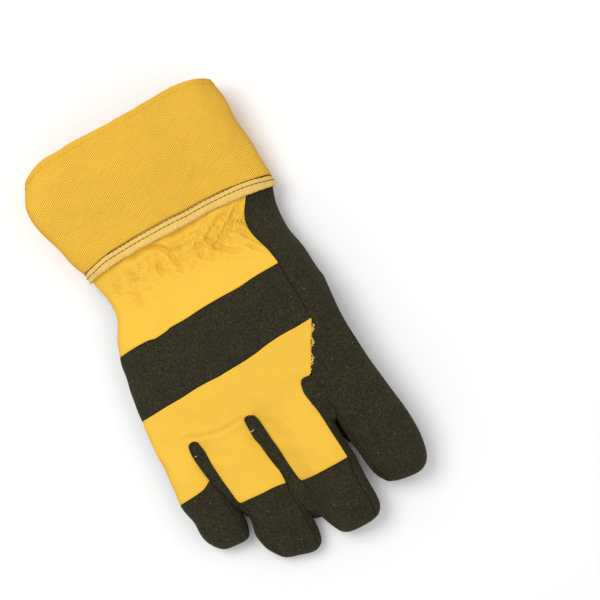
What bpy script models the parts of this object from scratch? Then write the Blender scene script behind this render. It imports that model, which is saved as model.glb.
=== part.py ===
"""A lined work glove for the right hand, lying back up with its thumb folded under the palm.

The outer skin of the hand, the four fingers and the thumb is one coarse cage of
quads, worked out from the named sizes and the short tables below. A Subdivision
Surface rounds it, a Solidify gives it its wall, and the skin is then parted along
its seams into the pieces that such a glove is sewn from. The cuff and the raw
canvas strip at its foot are tubes of their own around the top of the skin.

Axes: -Y runs from the cuff to the fingertips, +X points to the thumb's side, +Z is
up, out of the back of the hand. Sizes are in metres.
"""

import math

import bmesh
import bpy
import numpy as np
from mathutils import Vector

# Walls and gaps
SKIN_WALL = 0.0018
CUFF_WALL = 0.0014
SEAM_GAP = 0.0003

# The hand, from the foot of the cuff strip to the forks of the fingers
HAND_LENGTH = 0.111
KNUCKLE_WIDTH = 0.128
PALM_THICKNESS = 0.025
WRIST_TUCK = 0.009
STRAP_TOP = 0.048
STRAP_WIDTH = 0.0385
GATHER_DEPTH = 0.0024
FLOOR_SETTLE = 0.0008

# The cuff
CUFF_LENGTH = 0.0705
CUFF_STRIP_WIDTH = 0.0068
CUFF_WIDTH = 0.127
CUFF_HEIGHT = 0.044
SEAM_BOW = 0.0045
HEM_BOW = 0.0095

# The fingers: "length" is from the fork row to the tip, "base" and "tip" are widths, "leather" is
# the length of the tip leather, "slant" how much nearer the cuff its seam lies on the thumb's
# side, and "arch" how far the finger's middle rises
FINGER_THICKNESS = 0.0195
FINGER_CLEARANCE = 0.0006
FINGERS = {
    "pinky": dict(length=0.0610, base=0.0202, tip=0.0277, leather=0.0375, slant=0.005, arch=0.0015),
    "ring": dict(length=0.0820, base=0.0348, tip=0.0348, leather=0.0400, slant=-0.001, arch=0.0030),
    "middle": dict(length=0.0835, base=0.0384, tip=0.0362, leather=0.0365, slant=0.0, arch=0.0035),
    "index": dict(length=0.0700, base=0.0348, tip=0.0385, leather=0.0390, slant=0.0, arch=0.0010),
}
FORKS_LEFT = -0.0697
TIPS_LEFT = -0.0697

# The thumb, under the palm
THUMB_LENGTH = 0.088
THUMB_WIDTH = 0.039
THUMB_THICKNESS = 0.0150
THUMB_TIP_X = 0.040
THUMB_FORK = 0.068

# One row for each section of the hand. "along" is a share of HAND_LENGTH from the cuff's
# foot, "left", "right" and "seam" of KNUCKLE_WIDTH, "thick" of PALM_THICKNESS, "gather" of
# GATHER_DEPTH, and "rise" of HAND_LENGTH: how much nearer the cuff the section lies at "seam",
# which is where the back cloth meets the leather on the thumb's side.
HAND_ROWS = [
    dict(along=0.00, left=-0.445, right=0.437, seam=0.342, thick=0.96, rise=0.0, gather=0.0),
    dict(along=0.09, left=-0.425, right=0.421, seam=0.285, thick=0.94, rise=0.0, gather=1.0),
    dict(along=0.19, left=-0.414, right=0.421, seam=0.268, thick=0.97, rise=0.01, gather=1.0),
    dict(along=0.30, left=-0.428, right=0.430, seam=0.296, thick=1.03, rise=0.025, gather=0.5),
]
STRAP_ROWS = [
    dict(across=0.0, left=-0.487, right=0.447, seam=0.324, thick=1.06, rise=0.045),
    dict(across=0.5, left=-0.511, right=0.460, seam=0.330, thick=1.05, rise=0.057),
    dict(across=1.0, left=-0.532, right=0.450, seam=0.338, thick=1.00, rise=0.068),
]
FORK_ROWS = [
    dict(to_fork=0.50, left=-0.540, right=0.455, seam=0.258, thick=0.92, rise=0.062),
    dict(to_fork=1.00, left=-0.5445, right=0.457, seam=0.185, thick=0.84, rise=0.055),
]

# One row for each ring of a finger: "along" is a share of its length, "width" and
# "thick" are shares of its own width and thickness.
FINGER_ROWS = [
    dict(along=0.11, width=1.00, thick=1.00),
    dict(along=0.52, width=1.00, thick=1.00),
    dict(along=0.86, width=0.96, thick=0.92),
    dict(along=0.99, width=0.66, thick=0.62),
]
THUMB_ROWS = [
    dict(along=0.13, width=1.00, thick=1.00),
    dict(along=0.38, width=1.00, thick=1.00),
    dict(along=0.64, width=0.95, thick=1.00),
    dict(along=0.86, width=0.88, thick=0.92),
    dict(along=0.985, width=0.58, thick=0.60),
]

# One row for each ring of the cuff above its foot: "along" is a share of its length, "left"
# and "right" of CUFF_WIDTH, "high" of CUFF_HEIGHT, "bow" of HEM_BOW
CUFF_ROWS = [
    dict(along=1.00, left=-0.512, right=0.462, high=1.00, bow=1.0),
    dict(along=0.62, left=-0.558, right=0.470, high=0.92, bow=0.7),
    dict(along=0.24, left=-0.510, right=0.468, high=0.74, bow=0.5),
]

# Rounding draws a side point in, so the cage stands out by these shares
SECTION_SWELL = 1.04
FINGER_SWELL = 1.067

TOP_COLUMNS = 12
COLUMNS_A_FINGER = 3
THUMB_COLUMN = 8
EDGE_INSET = 0.06
# Across a finger, from -1 to 1: the back's panel sits over to the little finger's side
BACK_COLUMNS = (-0.90, -0.38, 0.18, 0.68)
PALM_COLUMNS = (0.80, 0.27, -0.27, -0.80)
BACK_ROUNDNESS = 2.3
PALM_ROUNDNESS = 3.4
BOW_SHARPNESS = 5

LEATHER_COLOR = (0.030, 0.027, 0.019, 1.0)
CLOTH_COLOR = (0.83, 0.53, 0.06, 1.0)
CANVAS_COLOR = (0.80, 0.62, 0.30, 1.0)
SUEDE_ROUGHNESS = 0.95
CLOTH_ROUGHNESS = 0.88

SKIN_PIECES = [
    "wrist_back_cloth",
    "knuckle_strap",
    "hand_back_cloth",
    "pinky_tip_leather",
    "ring_tip_leather",
    "middle_tip_leather",
    "index_back_leather",
    "palm_leather",
    "fourchette_pinky_ring",
    "fourchette_ring_middle",
    "fourchette_middle_index",
    "thumb_back_leather",
    "thumb_front_leather",
]
CLOTH_PIECES = {"wrist_back_cloth", "hand_back_cloth", "cuff"}


def smooth_step(start, end, value):
    """0 before start, 1 after end, and a smooth rise between them."""
    share = min(1.0, max(0.0, (value - start) / (end - start)))
    return share * share * (3 - 2 * share)


def rounded(u, roundness):
    """Height of a superellipse of half-height 1 at u, from -1 to 1."""
    return max(0.0, 1 - abs(u) ** roundness) ** (1 / roundness)


def settled(z):
    """The height of a point of the underside, pressed flat where it comes down to the floor."""
    return max(0.0, z - FLOOR_SETTLE)


def thumb_lift(x, y, x_start, y_start, y_full):
    """How far the thumb below props up what lies over it."""
    across = smooth_step(x_start, THUMB_TIP_X - 0.45 * THUMB_WIDTH, x)
    forward = smooth_step(-y_start, -y_full, -y)
    thumb_end = -(THUMB_FORK + THUMB_LENGTH)
    beyond = 1 - 0.62 * smooth_step(-thumb_end - 0.015, -thumb_end + 0.030, -y)
    return (THUMB_THICKNESS + SEAM_GAP) * across * forward * beyond


def under_lift(x, y):
    """Height of the palm's underside over the floor."""
    return thumb_lift(x, y, -0.10 * KNUCKLE_WIDTH, -0.45 * THUMB_FORK, -1.05 * THUMB_FORK)


def back_lift(x, y):
    """How far the back of the hand is propped up: the leather spreads the rise."""
    return thumb_lift(x, y, -0.36 * KNUCKLE_WIDTH, 0.10 * THUMB_FORK, -1.0 * THUMB_FORK)


def strip_height(y):
    """The wrist's underside is held up by the cuff strip below it."""
    return (CUFF_WALL + SEAM_GAP) * (1 - smooth_step(0.0, 0.07 * HAND_LENGTH, -y))


class Skin:
    """The cage as it grows: its corner points, its quads, and the piece of each quad."""

    def __init__(self):
        self.points = []
        self.quads = []
        self.pieces = []

    def point(self, x, y, z):
        self.points.append((x, y, z))
        return len(self.points) - 1

    def quad(self, piece, *corners):
        self.quads.append(corners)
        self.pieces.append(SKIN_PIECES.index(piece))

    def tube(self, rings, piece_of):
        """Joins rings, each nearer the fingertips than the last. piece_of(row, column) names a quad."""
        for row, (near, far) in enumerate(zip(rings, rings[1:])):
            for i in range(len(near)):
                j = (i + 1) % len(near)
                self.quad(piece_of(row, i), near[i], far[i], far[j], near[j])

    def cap(self, ring, centre, back_piece, front_piece):
        """Closes a finger's last ring of 10 points with three quads above and three below."""
        left, t0, t1, t2, t3, right, b3, b2, b1, b0 = ring
        middle = [left, *centre, right]
        for piece, edge in ((back_piece, (t0, t1, t2, t3)), (front_piece, (b0, b1, b2, b3))):
            quads = (
                (edge[0], edge[1], middle[1], middle[0]),
                (edge[1], edge[2], middle[2], middle[1]),
                (edge[2], edge[3], middle[3], middle[2]),
            )
            for quad in quads:
                self.quad(piece, *(reversed(quad) if edge[0] == t0 else quad))


def top_stations(row):
    """x of the 13 points across the back of the hand, and their u from -1 to 1."""
    left, right = row["left"] * KNUCKLE_WIDTH, row["right"] * KNUCKLE_WIDTH
    inset = EDGE_INSET * (right - left)
    seam = row["seam"] * KNUCKLE_WIDTH
    forks = [left + inset, *finger_forks()[1:-1], right - inset]
    spread = row.get("to_fork", 0.0)
    xs = []
    for k in range(TOP_COLUMNS + 1):
        if k <= 9:
            even = left + inset + (seam - left - inset) * k / 9
        else:
            even = seam + (right - inset - seam) * (k - 9) / 3
        finger, step = divmod(k, COLUMNS_A_FINGER)
        after = forks[min(finger + 1, 4)]
        forked = forks[finger] + (after - forks[finger]) * step / COLUMNS_A_FINGER
        xs.append(even + (forked - even) * spread if k != 9 else seam)
    return xs


def palm_stations(row):
    """x of the 13 points across the palm."""
    left, right = row["left"] * KNUCKLE_WIDTH, row["right"] * KNUCKLE_WIDTH
    inset = EDGE_INSET * (right - left)
    forks = [left + inset, *finger_forks()[1:-1], right - inset]
    xs = []
    for k in range(TOP_COLUMNS + 1):
        finger, step = divmod(k, COLUMNS_A_FINGER)
        after = forks[min(finger + 1, 4)]
        forked = forks[finger] + (after - forks[finger]) * step / COLUMNS_A_FINGER
        even = left + inset + (right - left - 2 * inset) * k / TOP_COLUMNS
        xs.append(even + (forked - even) * row.get("to_fork", 0.0))
    return xs


def finger_forks():
    """x of the pinky's outer side, the three forks, and the index finger's outer side, at the fork row."""
    edges = [FORKS_LEFT]
    for sizes in FINGERS.values():
        edges.append(edges[-1] + sizes["base"])
    return edges


def tip_edges():
    """The same five places at the fingertips."""
    edges = [TIPS_LEFT]
    for sizes in FINGERS.values():
        edges.append(edges[-1] + sizes["tip"])
    return edges


def section_height(x, row, roundness):
    left, right = row["left"] * KNUCKLE_WIDTH, row["right"] * KNUCKLE_WIDTH
    u = (2 * x - left - right) / (right - left)
    return rounded(u, roundness) * row["thick"] * PALM_THICKNESS / 2


def hand_rows():
    """Every section of the hand with its y, from under the cuff to the forks."""
    first = HAND_ROWS[0]
    rows = [{**first, "y": WRIST_TUCK}]
    for row in HAND_ROWS:
        rows.append({**row, "y": -row["along"] * HAND_LENGTH})
    for row in STRAP_ROWS:
        rows.append({**row, "y": -(STRAP_TOP + row["across"] * STRAP_WIDTH)})
    strap_end = STRAP_TOP + STRAP_WIDTH
    for row in FORK_ROWS:
        rows.append({**row, "y": -(strap_end + row["to_fork"] * (HAND_LENGTH - strap_end))})
    return rows


def slanted(x, row):
    """y of a section at x: slanted on the thumb's side, and bowed at both edges near the cuff."""
    left, right, seam = (row[key] * KNUCKLE_WIDTH for key in ("left", "right", "seam"))
    u = (2 * x - left - right) / (right - left)
    bow = SEAM_BOW * (1 - smooth_step(0.0, 0.25 * HAND_LENGTH, -row["y"]))
    rise = row["rise"] * HAND_LENGTH * (x - left) / (seam - left)
    return row["y"] + rise - bow * min(1.0, abs(u)) ** BOW_SHARPNESS


def hand_ring_points(row):
    """The 28 points round the hand at one section: left side, back, right side, palm."""
    mid = row["thick"] * PALM_THICKNESS / 2
    left, right = row["left"] * KNUCKLE_WIDTH, row["right"] * KNUCKLE_WIDTH
    floor = strip_height(row["y"])
    points = [(left * SECTION_SWELL, slanted(left, row), floor + mid)]
    for k, x in enumerate(top_stations(row)):
        y = slanted(x, row)
        pucker = row.get("gather", 0.0) * GATHER_DEPTH * (-1) ** k if 1 <= k <= 8 else 0.0
        z = floor + mid + section_height(x, row, BACK_ROUNDNESS) + back_lift(x, y) + pucker
        points.append((x, y, z))
    y = slanted(right, row)
    points.append((right * SECTION_SWELL, y, floor + mid + (under_lift(right, y) + back_lift(right, y)) / 2))
    for x in reversed(palm_stations(row)):
        y = slanted(x, row)
        z = mid - section_height(x, row, PALM_ROUNDNESS) + under_lift(x, y)
        points.append((x, y, floor + settled(z)))
    return points


def finger_ring_points(centre_x, width, thick, y_of, lift_of):
    """The 10 points round a finger: left side, 4 over the back, right side, 4 under."""
    half = width / 2
    mid = thick / 2
    points = []
    for side, columns, roundness in ((-1, BACK_COLUMNS, BACK_ROUNDNESS), (1, PALM_COLUMNS, PALM_ROUNDNESS)):
        x = centre_x + side * half * FINGER_SWELL
        y = y_of(side)
        points.append((x, y, mid + lift_of(x, y)))
        for u in columns:
            x = centre_x + half * u
            y = y_of(u)
            z = mid - side * mid * rounded(u, roundness) + lift_of(x, y)
            points.append((x, y, z if side < 0 else settled(z)))
    return points


def add_hand(skin):
    """Adds the hand, and returns the ring at the forks of the fingers and the thumb's root ring."""
    rows = hand_rows()
    fork_row = min(range(len(rows)), key=lambda n: abs(rows[n]["y"] + THUMB_FORK))
    rings, thumb_root = [], []
    for number, row in enumerate(rows):
        ring = [skin.point(*p) for p in hand_ring_points(row)]
        if number == fork_row:
            lower = list(ring)
            for k in range(THUMB_COLUMN + 1, TOP_COLUMNS + 1):
                i = 27 - k
                x, y, _ = skin.points[ring[i]]
                lower[i] = skin.point(x, y, 0.0)
            rings.append((lower, ring))
            thumb_root = [ring[27 - THUMB_COLUMN], *(ring[27 - k] for k in range(9, 13)), ring[14]]
            thumb_root += [lower[27 - k] for k in range(12, 8, -1)]
        else:
            rings.append((ring, ring))

    def piece_of(row, column):
        if column > 13:
            return "palm_leather"
        if column > 9:
            return "index_back_leather"
        y = (rows[row]["y"] + rows[row + 1]["y"]) / 2
        if -y < STRAP_TOP:
            return "wrist_back_cloth"
        return "knuckle_strap" if -y < STRAP_TOP + STRAP_WIDTH else "hand_back_cloth"

    for number in range(len(rows) - 1):
        skin.tube([rings[number][1], rings[number + 1][0]], lambda _, column, n=number: piece_of(n, column))
    return rings[-1][0], thumb_root


def add_finger(skin, number, root):
    """Adds a finger on its root ring of 10 points."""
    name, sizes = list(FINGERS.items())[number]
    bases, tips = finger_forks(), tip_edges()
    length = sizes["length"]
    rows = [{"along": 0.0, "width": 1.0, "thick": 1.0}, *FINGER_ROWS]
    leather_from = 1 - sizes["leather"] / length
    nearest = min(range(1, len(rows)), key=lambda n: abs(rows[n]["along"] - leather_from))
    rings = [root]
    for step, row in enumerate(rows[1:], 1):
        along = leather_from if step == nearest else row["along"]
        share = smooth_step(-0.2, 0.8, along)
        left = bases[number] + (tips[number] - bases[number]) * share
        right = bases[number + 1] + (tips[number + 1] - bases[number + 1]) * share
        width = (right - left - 2 * FINGER_CLEARANCE) * row["width"]
        slant = sizes["slant"] / 2 if step == nearest else 0.0
        arch = sizes["arch"] * math.sin(math.pi * along)

        def y_of(u, along=along, slant=slant):
            return slant * u - (HAND_LENGTH + along * length)

        def lift_of(x, y, arch=arch):
            return under_lift(x, y) + arch

        thick = FINGER_THICKNESS * row["thick"]
        points = finger_ring_points((left + right) / 2, width, thick, y_of, lift_of)
        rings.append([skin.point(*p) for p in points])

    before = {"ring": "fourchette_pinky_ring", "middle": "fourchette_ring_middle"}
    before["index"] = "fourchette_middle_index"
    after = {"pinky": "fourchette_pinky_ring", "ring": "fourchette_ring_middle"}
    after["middle"] = "fourchette_middle_index"

    def back_piece(row):
        if name == "index":
            return "index_back_leather"
        return "hand_back_cloth" if row < nearest else f"{name}_tip_leather"

    def piece_of(row, column):
        back = back_piece(row)
        return {
            0: before.get(name, back),
            4: after.get(name, back),
            5: after.get(name, "palm_leather"),
            9: before.get(name, "palm_leather"),
        }.get(column, back if column < 4 else "palm_leather")

    skin.tube(rings, piece_of)
    last = [Vector(skin.points[i]) for i in rings[-1]]
    out = Vector((0.0, -0.02 * length, 0.0))
    centre = [skin.point(*((last[a] + last[b]) / 2 + out)) for a, b in ((2, 8), (3, 7))]
    skin.cap(rings[-1], centre, back_piece(len(rows)), "palm_leather")


def add_thumb(skin, root):
    """Adds the thumb on its root ring, flat on the floor below the palm and the index finger."""
    root_x = (skin.points[root[0]][0] + skin.points[root[5]][0]) / 2
    rings = [root]
    for row in THUMB_ROWS:
        x = root_x + (THUMB_TIP_X - root_x) * smooth_step(0.0, 1.0, row["along"])
        y = -(THUMB_FORK + row["along"] * THUMB_LENGTH)
        thick = (THUMB_THICKNESS - 2 * SEAM_GAP) * row["thick"]
        points = finger_ring_points(x, THUMB_WIDTH * row["width"], thick, lambda u, y=y: y, lambda x, y: 0.0)
        rings.append([skin.point(*p) for p in points])

    def piece_of(row, column):
        if row == 0:
            return "palm_leather"
        return "thumb_back_leather" if column < 5 else "thumb_front_leather"

    skin.tube(rings, piece_of)
    last = [Vector(skin.points[i]) for i in rings[-1]]
    out = Vector((0.0, -0.02 * THUMB_LENGTH, 0.0))
    centre = [skin.point(*((last[a] + last[b]) / 2 + out)) for a, b in ((2, 8), (3, 7))]
    skin.cap(rings[-1], centre, "thumb_back_leather", "thumb_front_leather")


def skin_cage():
    """The whole cage of the hand, the fingers and the thumb."""
    skin = Skin()
    forks, thumb_root = add_hand(skin)
    top, palm = forks[1:14], forks[:14:-1]
    left, right = forks[0], forks[14]
    webs = [left]
    for finger in range(1, len(FINGERS)):
        k = finger * COLUMNS_A_FINGER
        middle = (Vector(skin.points[top[k]]) + Vector(skin.points[palm[k]])) / 2
        webs.append(skin.point(*middle))
    webs.append(right)
    for number in range(len(FINGERS)):
        first = number * COLUMNS_A_FINGER
        over = top[first : first + COLUMNS_A_FINGER + 1]
        under = palm[first : first + COLUMNS_A_FINGER + 1]
        add_finger(skin, number, [webs[number], *over, webs[number + 1], *reversed(under)])
    add_thumb(skin, thumb_root)
    return skin


def evaluated_skin(collection):
    """The cage rounded and given its wall, as one mesh whose material index tells the piece."""
    skin = skin_cage()
    mesh = bpy.data.meshes.new("skin")
    mesh.from_pydata(skin.points, [], skin.quads)
    for name in SKIN_PIECES:
        mesh.materials.append(bpy.data.materials.new(name))
    mesh.polygons.foreach_set("material_index", skin.pieces)
    obj = bpy.data.objects.new("skin", mesh)
    collection.objects.link(obj)
    rounding = obj.modifiers.new("rounding", "SUBSURF")
    rounding.levels = rounding.render_levels = 1
    rounding.use_limit_surface = False
    wall = obj.modifiers.new("wall", "SOLIDIFY")
    wall.thickness = SKIN_WALL
    wall.offset = -1
    wall.use_rim = False
    graph = bpy.context.evaluated_depsgraph_get()
    result = bpy.data.meshes.new_from_object(obj.evaluated_get(graph))
    bpy.data.objects.remove(obj)
    return result


def seam_shift(edges, outer, inner, centres):
    """How far each border point moves in from the seam, so that two sewn pieces keep SEAM_GAP."""
    pushes = {}
    for (a, b), centre in zip(edges, centres):
        along = outer[b] - outer[a]
        through = (inner[a] + inner[b] - outer[a] - outer[b]) / 2
        away = along.cross(through).normalized()
        if away.dot(centre - outer[a]) < 0:
            away.negate()
        for corner in (a, b):
            pushes.setdefault(corner, []).append(away)
    shifts = {}
    for corner, ways in pushes.items():
        total = sum(ways, Vector())
        shifts[corner] = total * (SEAM_GAP * len(ways) / 2 / max(total.length_squared, 1.0))
    return shifts


def cut_piece(skin_mesh, index, name, material, collection):
    """Takes one piece out of the skin, as a closed solid with its border SEAM_GAP / 2 in from each seam."""
    points = [v.co.copy() for v in skin_mesh.vertices]
    outer_count, face_count = len(points) // 2, len(skin_mesh.polygons) // 2
    faces = [
        tuple(p.vertices)
        for p in skin_mesh.polygons[:face_count]
        if p.material_index == index
    ]
    outer = {i: points[i] for face in faces for i in face}
    inner = {i: points[i + outer_count] for i in outer}
    directed = {}
    for face in faces:
        for a, b in zip(face, face[1:] + face[:1]):
            directed[(a, b)] = face
    border = [(edge, face) for edge, face in directed.items() if edge[::-1] not in directed]
    centres = [sum((outer[i] for i in face), Vector()) / len(face) for _, face in border]
    shifts = seam_shift([edge for edge, _ in border], outer, inner, centres)
    bm = bmesh.new()
    over = {i: bm.verts.new(outer[i] + shifts.get(i, Vector())) for i in outer}
    under = {i: bm.verts.new(inner[i] + shifts.get(i, Vector())) for i in inner}
    for face in faces:
        bm.faces.new([over[i] for i in face])
        bm.faces.new([under[i] for i in reversed(face)])
    for (a, b), _ in border:
        # Both neighbours split their shared wall along the same diagonal
        if a < b:
            bm.faces.new((over[b], over[a], under[b]))
            bm.faces.new((over[a], under[a], under[b]))
        else:
            bm.faces.new((over[b], over[a], under[a]))
            bm.faces.new((over[b], under[a], under[b]))
    mesh = bpy.data.meshes.new(name)
    bm.to_mesh(mesh)
    bm.free()
    mesh.materials.append(material)
    obj = bpy.data.objects.new(name, mesh)
    collection.objects.link(obj)
    return obj


def grown_ring(points, amount):
    """The ring with each side pushed out by amount in the xz plane, mitred at the corners."""
    grown = []
    for i, (x, y, z) in enumerate(points):
        before, after = points[i - 1], points[(i + 1) % len(points)]
        come = Vector((x - before[0], z - before[2])).normalized()
        go = Vector((after[0] - x, after[2] - z)).normalized()
        normal = Vector((-come.y - go.y, come.x + go.x)).normalized()
        reach = amount / max(0.5, normal.dot(Vector((-come.y, come.x))))
        grown.append((x + reach * normal.x, y, z + reach * normal.y))
    return grown


def cuff_ring(row, start):
    """One ring of the cuff above its foot: rounder and wider than the wrist's."""
    left, right = row["left"] * CUFF_WIDTH, row["right"] * CUFF_WIDTH
    centre, half, mid = (left + right) / 2, (right - left) / 2, row["high"] * CUFF_HEIGHT / 2
    inset = 1 - 2 * EDGE_INSET
    steps = [inset * (2 * k / TOP_COLUMNS - 1) for k in range(TOP_COLUMNS + 1)]
    y = start + row["along"] * (CUFF_LENGTH - start)
    bow = HEM_BOW * row["bow"]
    points = []
    for side, columns, roundness in ((-1, steps, 2.0), (1, steps[::-1], PALM_ROUNDNESS)):
        points.append((centre + side * half * SECTION_SWELL, y - bow, mid))
        for u in columns:
            z = mid - side * mid * rounded(u, roundness)
            bowed = y - bow * abs(u) ** BOW_SHARPNESS
            points.append((centre + half * u, bowed, z if side < 0 else settled(z)))
    return points


def tube_piece(name, rings, material, collection):
    """An open tube through rings, rounded, with its wall turned inwards."""
    points = [p for ring in rings for p in ring]
    count = len(rings[0])
    quads = []
    for row in range(len(rings) - 1):
        for i in range(count):
            j = (i + 1) % count
            near, far = row * count, (row + 1) * count
            quads.append((near + i, far + i, far + j, near + j))
    mesh = bpy.data.meshes.new(name)
    mesh.from_pydata(points, [], quads)
    mesh.materials.append(material)
    obj = bpy.data.objects.new(name, mesh)
    collection.objects.link(obj)
    rounding = obj.modifiers.new("rounding", "SUBSURF")
    rounding.levels = rounding.render_levels = 1
    rounding.use_limit_surface = False
    wall = obj.modifiers.new("wall", "SOLIDIFY")
    wall.thickness = CUFF_WALL
    wall.offset = -1
    wall.use_even_offset = True
    return obj


def build_cuff(cloth, canvas, collection):
    """The cuff and the raw canvas strip at its foot, both round the top of the skin."""
    foot = {**HAND_ROWS[0], "y": 0.0}
    wrist = grown_ring(hand_ring_points(foot), SEAM_GAP + CUFF_WALL)
    start = CUFF_STRIP_WIDTH + SEAM_GAP
    strip = tube_piece(
        "cuff_strip",
        [[(x, y + CUFF_STRIP_WIDTH, z) for x, y, z in wrist], wrist],
        canvas,
        collection,
    )
    rings = [cuff_ring(row, start) for row in CUFF_ROWS]
    rings.append([(x, y + start, z) for x, y, z in wrist])
    cuff = tube_piece("cuff", rings, cloth, collection)
    return [cuff, strip]


def finish_material(name, color, roughness):
    """A plain rough material."""
    material = bpy.data.materials.new(name)
    material.use_nodes = True
    surface = material.node_tree.nodes["Principled BSDF"]
    surface.inputs["Base Color"].default_value = color
    surface.inputs["Roughness"].default_value = roughness
    surface.inputs["Metallic"].default_value = 0.0
    return material


def centre_on_floor(objects):
    """Moves the glove so that the middle of its box stands over the origin, on the floor."""
    bpy.context.view_layer.update()
    graph = bpy.context.evaluated_depsgraph_get()
    corners = []
    for obj in objects:
        shape = obj.evaluated_get(graph).to_mesh()
        corners += [tuple(v.co) for v in shape.vertices]
    corners = np.array(corners)
    low, high = corners.min(axis=0), corners.max(axis=0)
    shift = Vector((-(low[0] + high[0]) / 2, -(low[1] + high[1]) / 2, -low[2]))
    for obj in objects:
        obj.location = shift


def main():
    for obj in list(bpy.data.objects):
        bpy.data.objects.remove(obj)
    collection = bpy.data.collections.new("work_glove")
    bpy.context.scene.collection.children.link(collection)
    finishes = {
        "leather": finish_material("suede_leather", LEATHER_COLOR, SUEDE_ROUGHNESS),
        "cloth": finish_material("drill_cloth", CLOTH_COLOR, CLOTH_ROUGHNESS),
        "canvas": finish_material("raw_canvas", CANVAS_COLOR, CLOTH_ROUGHNESS),
    }
    skin_mesh = evaluated_skin(collection)
    objects = []
    for index, name in enumerate(SKIN_PIECES):
        finish = finishes["cloth" if name in CLOTH_PIECES else "leather"]
        objects.append(cut_piece(skin_mesh, index, name, finish, collection))
    bpy.data.meshes.remove(skin_mesh)
    objects += build_cuff(finishes["cloth"], finishes["canvas"], collection)
    centre_on_floor(objects)


main()
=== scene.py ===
"""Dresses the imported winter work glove: drill cloth, canvas, split leather, stitches and loose threads.

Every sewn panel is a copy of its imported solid, rounded by subdivision and then shaped by one smooth
displacement that all panels share, so the seams between them stay shut. Units are metres. The glove lies back
up with its fingers towards -Y, its thumb towards +X, and +Z up.
"""

import logging
import math
from contextlib import contextmanager
from dataclasses import dataclass
from enum import Enum
from typing import Iterable, Iterator, Sequence

import bpy
import numpy as np
from mathutils import Matrix, Vector
from mathutils.bvhtree import BVHTree
from mathutils.kdtree import KDTree


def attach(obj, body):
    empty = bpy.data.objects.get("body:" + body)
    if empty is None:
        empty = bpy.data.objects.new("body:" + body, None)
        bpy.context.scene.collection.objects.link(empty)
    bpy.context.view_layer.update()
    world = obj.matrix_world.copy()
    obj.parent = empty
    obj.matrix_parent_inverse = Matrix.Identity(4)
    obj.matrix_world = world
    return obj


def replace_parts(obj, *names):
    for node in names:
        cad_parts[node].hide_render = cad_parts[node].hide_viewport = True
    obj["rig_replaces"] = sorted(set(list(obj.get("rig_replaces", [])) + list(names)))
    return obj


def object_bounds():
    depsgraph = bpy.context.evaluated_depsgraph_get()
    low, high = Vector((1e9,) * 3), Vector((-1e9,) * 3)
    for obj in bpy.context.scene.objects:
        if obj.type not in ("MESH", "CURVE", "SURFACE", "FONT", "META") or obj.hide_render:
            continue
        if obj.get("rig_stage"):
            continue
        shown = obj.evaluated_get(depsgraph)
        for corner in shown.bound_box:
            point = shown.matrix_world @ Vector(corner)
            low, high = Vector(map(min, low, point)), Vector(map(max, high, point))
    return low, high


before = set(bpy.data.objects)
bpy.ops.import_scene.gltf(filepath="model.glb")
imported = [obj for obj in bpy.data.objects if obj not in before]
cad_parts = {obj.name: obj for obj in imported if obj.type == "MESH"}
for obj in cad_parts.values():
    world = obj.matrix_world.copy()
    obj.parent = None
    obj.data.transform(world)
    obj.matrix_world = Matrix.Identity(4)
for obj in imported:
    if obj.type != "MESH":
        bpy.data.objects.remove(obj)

LOG = logging.getLogger("glove")
MM = 0.001
BODY = "root"
SKY = 0.2  # height over all pieces, from where rays are cast down
DOWN = Vector((0.0, 0.0, -1.0))
Point2 = tuple[float, float]
Color = tuple[float, float, float, float]
Hit = tuple[Vector, Vector]  # a place on the pieces, and the way they face there
Root = tuple[Vector, Vector, Vector]  # a place, the direction along and the direction outward
Piece = bpy.types.Object
Mesh = bpy.types.Mesh
Socket = bpy.types.NodeSocket
Outputs = bpy.types.NodeOutputs


class Slot(Enum):
    """The record's material slots."""

    CUFF = "cuff_cloth"
    BACK = "back_cloth"
    RAW = "raw_canvas"
    LEATHER = "leather"


class Border(Enum):
    """The two borders of a tube round the wrist."""

    UPPER = "towards the elbow"
    LOWER = "towards the fingers"


def srgb(red: int, green: int, blue: int) -> Color:
    """A colour as it is named on screen, made linear.

    Args:
        red: 0 to 255.
        green: 0 to 255.
        blue: 0 to 255.

    Returns:
        The linear colour with full alpha.
    """
    def linear(value: float) -> float:
        """One channel, made linear."""
        return value / 12.92 if value <= 0.04045 else ((value + 0.055) / 1.055) ** 2.4

    return (linear(red / 255), linear(green / 255), linear(blue / 255), 1.0)


def smooth_step(low: float, high: float, value: np.ndarray) -> np.ndarray:
    """0 below low, 1 above high, and a smooth rise between them."""
    t = np.clip((value - low) / (high - low), 0.0, 1.0)
    return t * t * (3.0 - 2.0 * t)


def unit(vectors: np.ndarray) -> np.ndarray:
    """The rows of an array, each made one long."""
    return vectors / np.maximum(np.linalg.norm(vectors, axis=-1, keepdims=True), 1e-12)


def smooth_line(corners: Sequence[Point2], steps: int) -> np.ndarray:
    """A smooth curve through points.

    Args:
        corners: the points, in millimetres.
        steps: samples between two points.

    Returns:
        The curve's points in metres, one row each.
    """
    corners = np.asarray(corners) * MM
    padded = np.vstack([2 * corners[0] - corners[1], corners, 2 * corners[-1] - corners[-2]])
    t = np.linspace(0.0, 1.0, steps, endpoint=False)[:, None]
    curve = [0.5 * (2 * b + (c - a) * t + (2 * a - 5 * b + 4 * c - d) * t**2 + (3 * b - a - 3 * c + d) * t**3)
             for a, b, c, d in zip(padded, padded[1:], padded[2:], padded[3:])]
    return np.vstack([*curve, corners[-1:]])


def between(where: np.ndarray, marks: Sequence[float], rows: np.ndarray) -> np.ndarray:
    """Rows that belong to marks on a line, read at places between them."""
    return np.column_stack([np.interp(where, marks, column) for column in rows.T])


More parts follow.
